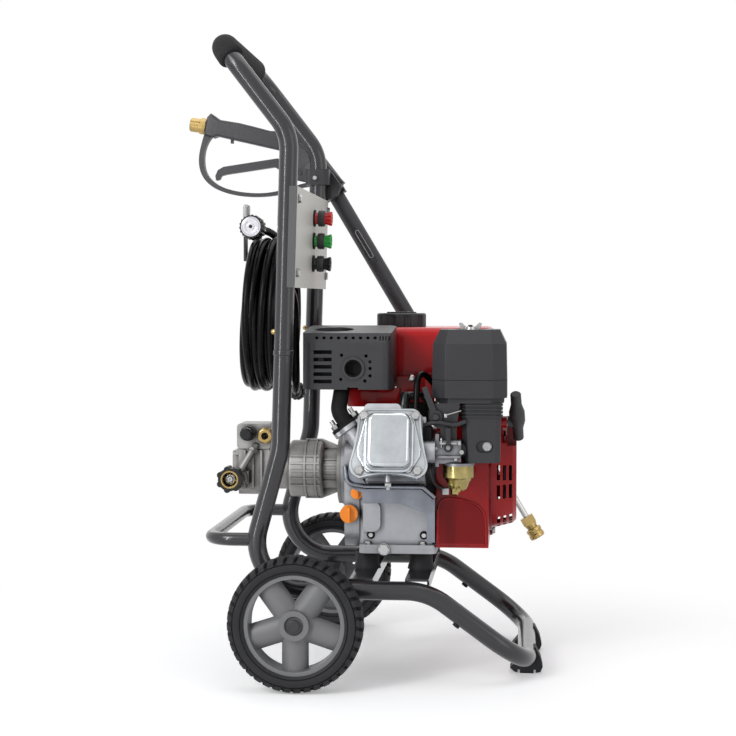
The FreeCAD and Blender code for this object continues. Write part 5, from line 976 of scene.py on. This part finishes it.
def white_surround(strength):
    """Even cool light all round, which the camera, reflections and clear parts see as plain white."""
    world = bpy.data.worlds.new("surround")
    bpy.context.scene.world = world
    world.use_nodes = True
    tree = world.node_tree
    tree.nodes.clear()
    rays = add(tree, "ShaderNodeLightPath")
    seen = rays.outputs["Is Camera Ray"]
    for kind in ("Is Glossy Ray", "Is Transmission Ray"):
        either = add(tree, "ShaderNodeMath", operation="MAXIMUM")
        tree.links.new(seen, either.inputs[0])
        tree.links.new(rays.outputs[kind], either.inputs[1])
        seen = either.outputs[0]
    light = add(tree, "ShaderNodeBackground", Color=(0.93, 0.95, 1.0, 1), Strength=strength)
    white = add(tree, "ShaderNodeBackground", Color=(1, 1, 1, 1))
    out = add(tree, "ShaderNodeOutputWorld")
    tree.links.new(fade(tree, seen, light.outputs[0], white.outputs[0]), out.inputs[0])


def floor_material():
    """Pale matt floor that runs out into white away from the machine."""
    material, tree, shader = new_material("floor", **{
        "Base Color": (0.90, 0.90, 0.90, 1), "Emission Color": (1, 1, 1, 1), "Emission Strength": 0.28,
        "Roughness": 0.7, "Specular IOR Level": 0.2})
    away = add(tree, "ShaderNodeVectorMath", operation="LENGTH")
    tree.links.new(add(tree, "ShaderNodeTexCoord").outputs["Object"], away.inputs[0])
    far = remap(tree, away.outputs["Value"], FLOOR_FADE, easing="SMOOTHSTEP")
    seen_far = add(tree, "ShaderNodeMath", operation="MULTIPLY")
    tree.links.new(far, seen_far.inputs[0])
    tree.links.new(add(tree, "ShaderNodeLightPath").outputs["Is Camera Ray"], seen_far.inputs[1])
    white = add(tree, "ShaderNodeEmission")
    surface = tree.nodes["Material Output"].inputs["Surface"]
    tree.links.new(fade(tree, seen_far.outputs[0], shader.outputs[0], white.outputs[0]), surface)
    return material


def soft_light(name, place, target, size, power):
    data = bpy.data.lights.new(name, "AREA")
    data.shape = "RECTANGLE"
    data.size, data.size_y = size
    data.energy = power
    lamp = bpy.data.objects.new(name, data)
    bpy.context.scene.collection.objects.link(lamp)
    lamp.location = place
    lamp.rotation_euler = (Vector(target) - Vector(place)).to_track_quat("-Z", "Y").to_euler()


class WASHER_OT_stage(bpy.types.Operator):
    """Floor, surround, soft lights and camera"""
    bl_idname = "washer.stage"
    bl_label = "Stage"

    def execute(self, context):
        scene = context.scene
        studio = scene.washer_studio
        scene.view_settings.view_transform = "Standard"
        white_surround(studio.sky)
        sides = (-FLOOR_HALF, FLOOR_HALF)
        corners = [[Vector((x, y, 0)) for x in sides] for y in sides]
        ground = bpy.data.objects.new("floor", grid_mesh("floor", corners))
        scene.collection.objects.link(ground)
        coat_with(ground, floor_material())
        for name, place, target, size, power in LAMPS:
            soft_light(name, place, target, size, getattr(studio, power))
        lens = bpy.data.cameras.new("camera")
        lens.sensor_width = SENSOR_WIDTH
        lens.lens = studio.lens
        camera = bpy.data.objects.new("camera", lens)
        scene.collection.objects.link(camera)
        camera.location = CAMERA_PLACE
        camera.rotation_euler = (CAMERA_PITCH, 0.0, CAMERA_YAW)
        scene.camera = camera
        return {"FINISHED"}


class WASHER_PT_panel(bpy.types.Panel):
    """Buttons for every group of pieces"""
    bl_label = "Pressure Washer"
    bl_idname = "WASHER_PT_panel"
    bl_space_type = "VIEW_3D"
    bl_region_type = "UI"
    bl_category = "Washer"

    def draw(self, context):
        for operator in OPERATORS:
            self.layout.operator(operator.bl_idname)


OPERATORS = (WASHER_OT_stage, WASHER_OT_hose, WASHER_OT_finishes, WASHER_OT_tyres, WASHER_OT_engine_hoses,
             WASHER_OT_carburettor_links, WASHER_OT_bolts, WASHER_OT_cowl_trim, WASHER_OT_pump_trim,
             WASHER_OT_frame_trim, WASHER_OT_nozzles, WASHER_OT_grip, WASHER_OT_gun_trim, WASHER_OT_rope)
GROUPS = {"washer_colours": WasherColours, "washer_tyre": WasherTyre, "washer_hose": WasherHose,
          "washer_studio": WasherStudio}


def register():
    for group in GROUPS.values():
        bpy.utils.register_class(group)
    for operator in OPERATORS:
        bpy.utils.register_class(operator)
    bpy.utils.register_class(WASHER_PT_panel)
    for name, group in GROUPS.items():
        setattr(bpy.types.Scene, name, PointerProperty(type=group))


def unregister():
    for name in GROUPS:
        delattr(bpy.types.Scene, name)
    bpy.utils.unregister_class(WASHER_PT_panel)
    for operator in reversed(OPERATORS):
        bpy.utils.unregister_class(operator)
    for group in reversed(list(GROUPS.values())):
        bpy.utils.unregister_class(group)


def main():
    register()
    bpy.ops.washer.stage()
    bpy.ops.washer.hose()
    bpy.ops.washer.finishes()
    bpy.ops.washer.tyres()
    bpy.ops.washer.engine_hoses()
    bpy.ops.washer.carburettor_links()
    bpy.ops.washer.bolts()
    bpy.ops.washer.cowl_trim()
    bpy.ops.washer.pump_trim()
    bpy.ops.washer.frame_trim()
    bpy.ops.washer.nozzles()
    bpy.ops.washer.grip()
    bpy.ops.washer.gun_trim()
    bpy.ops.washer.rope()


if __name__ == "__main__":
    main()
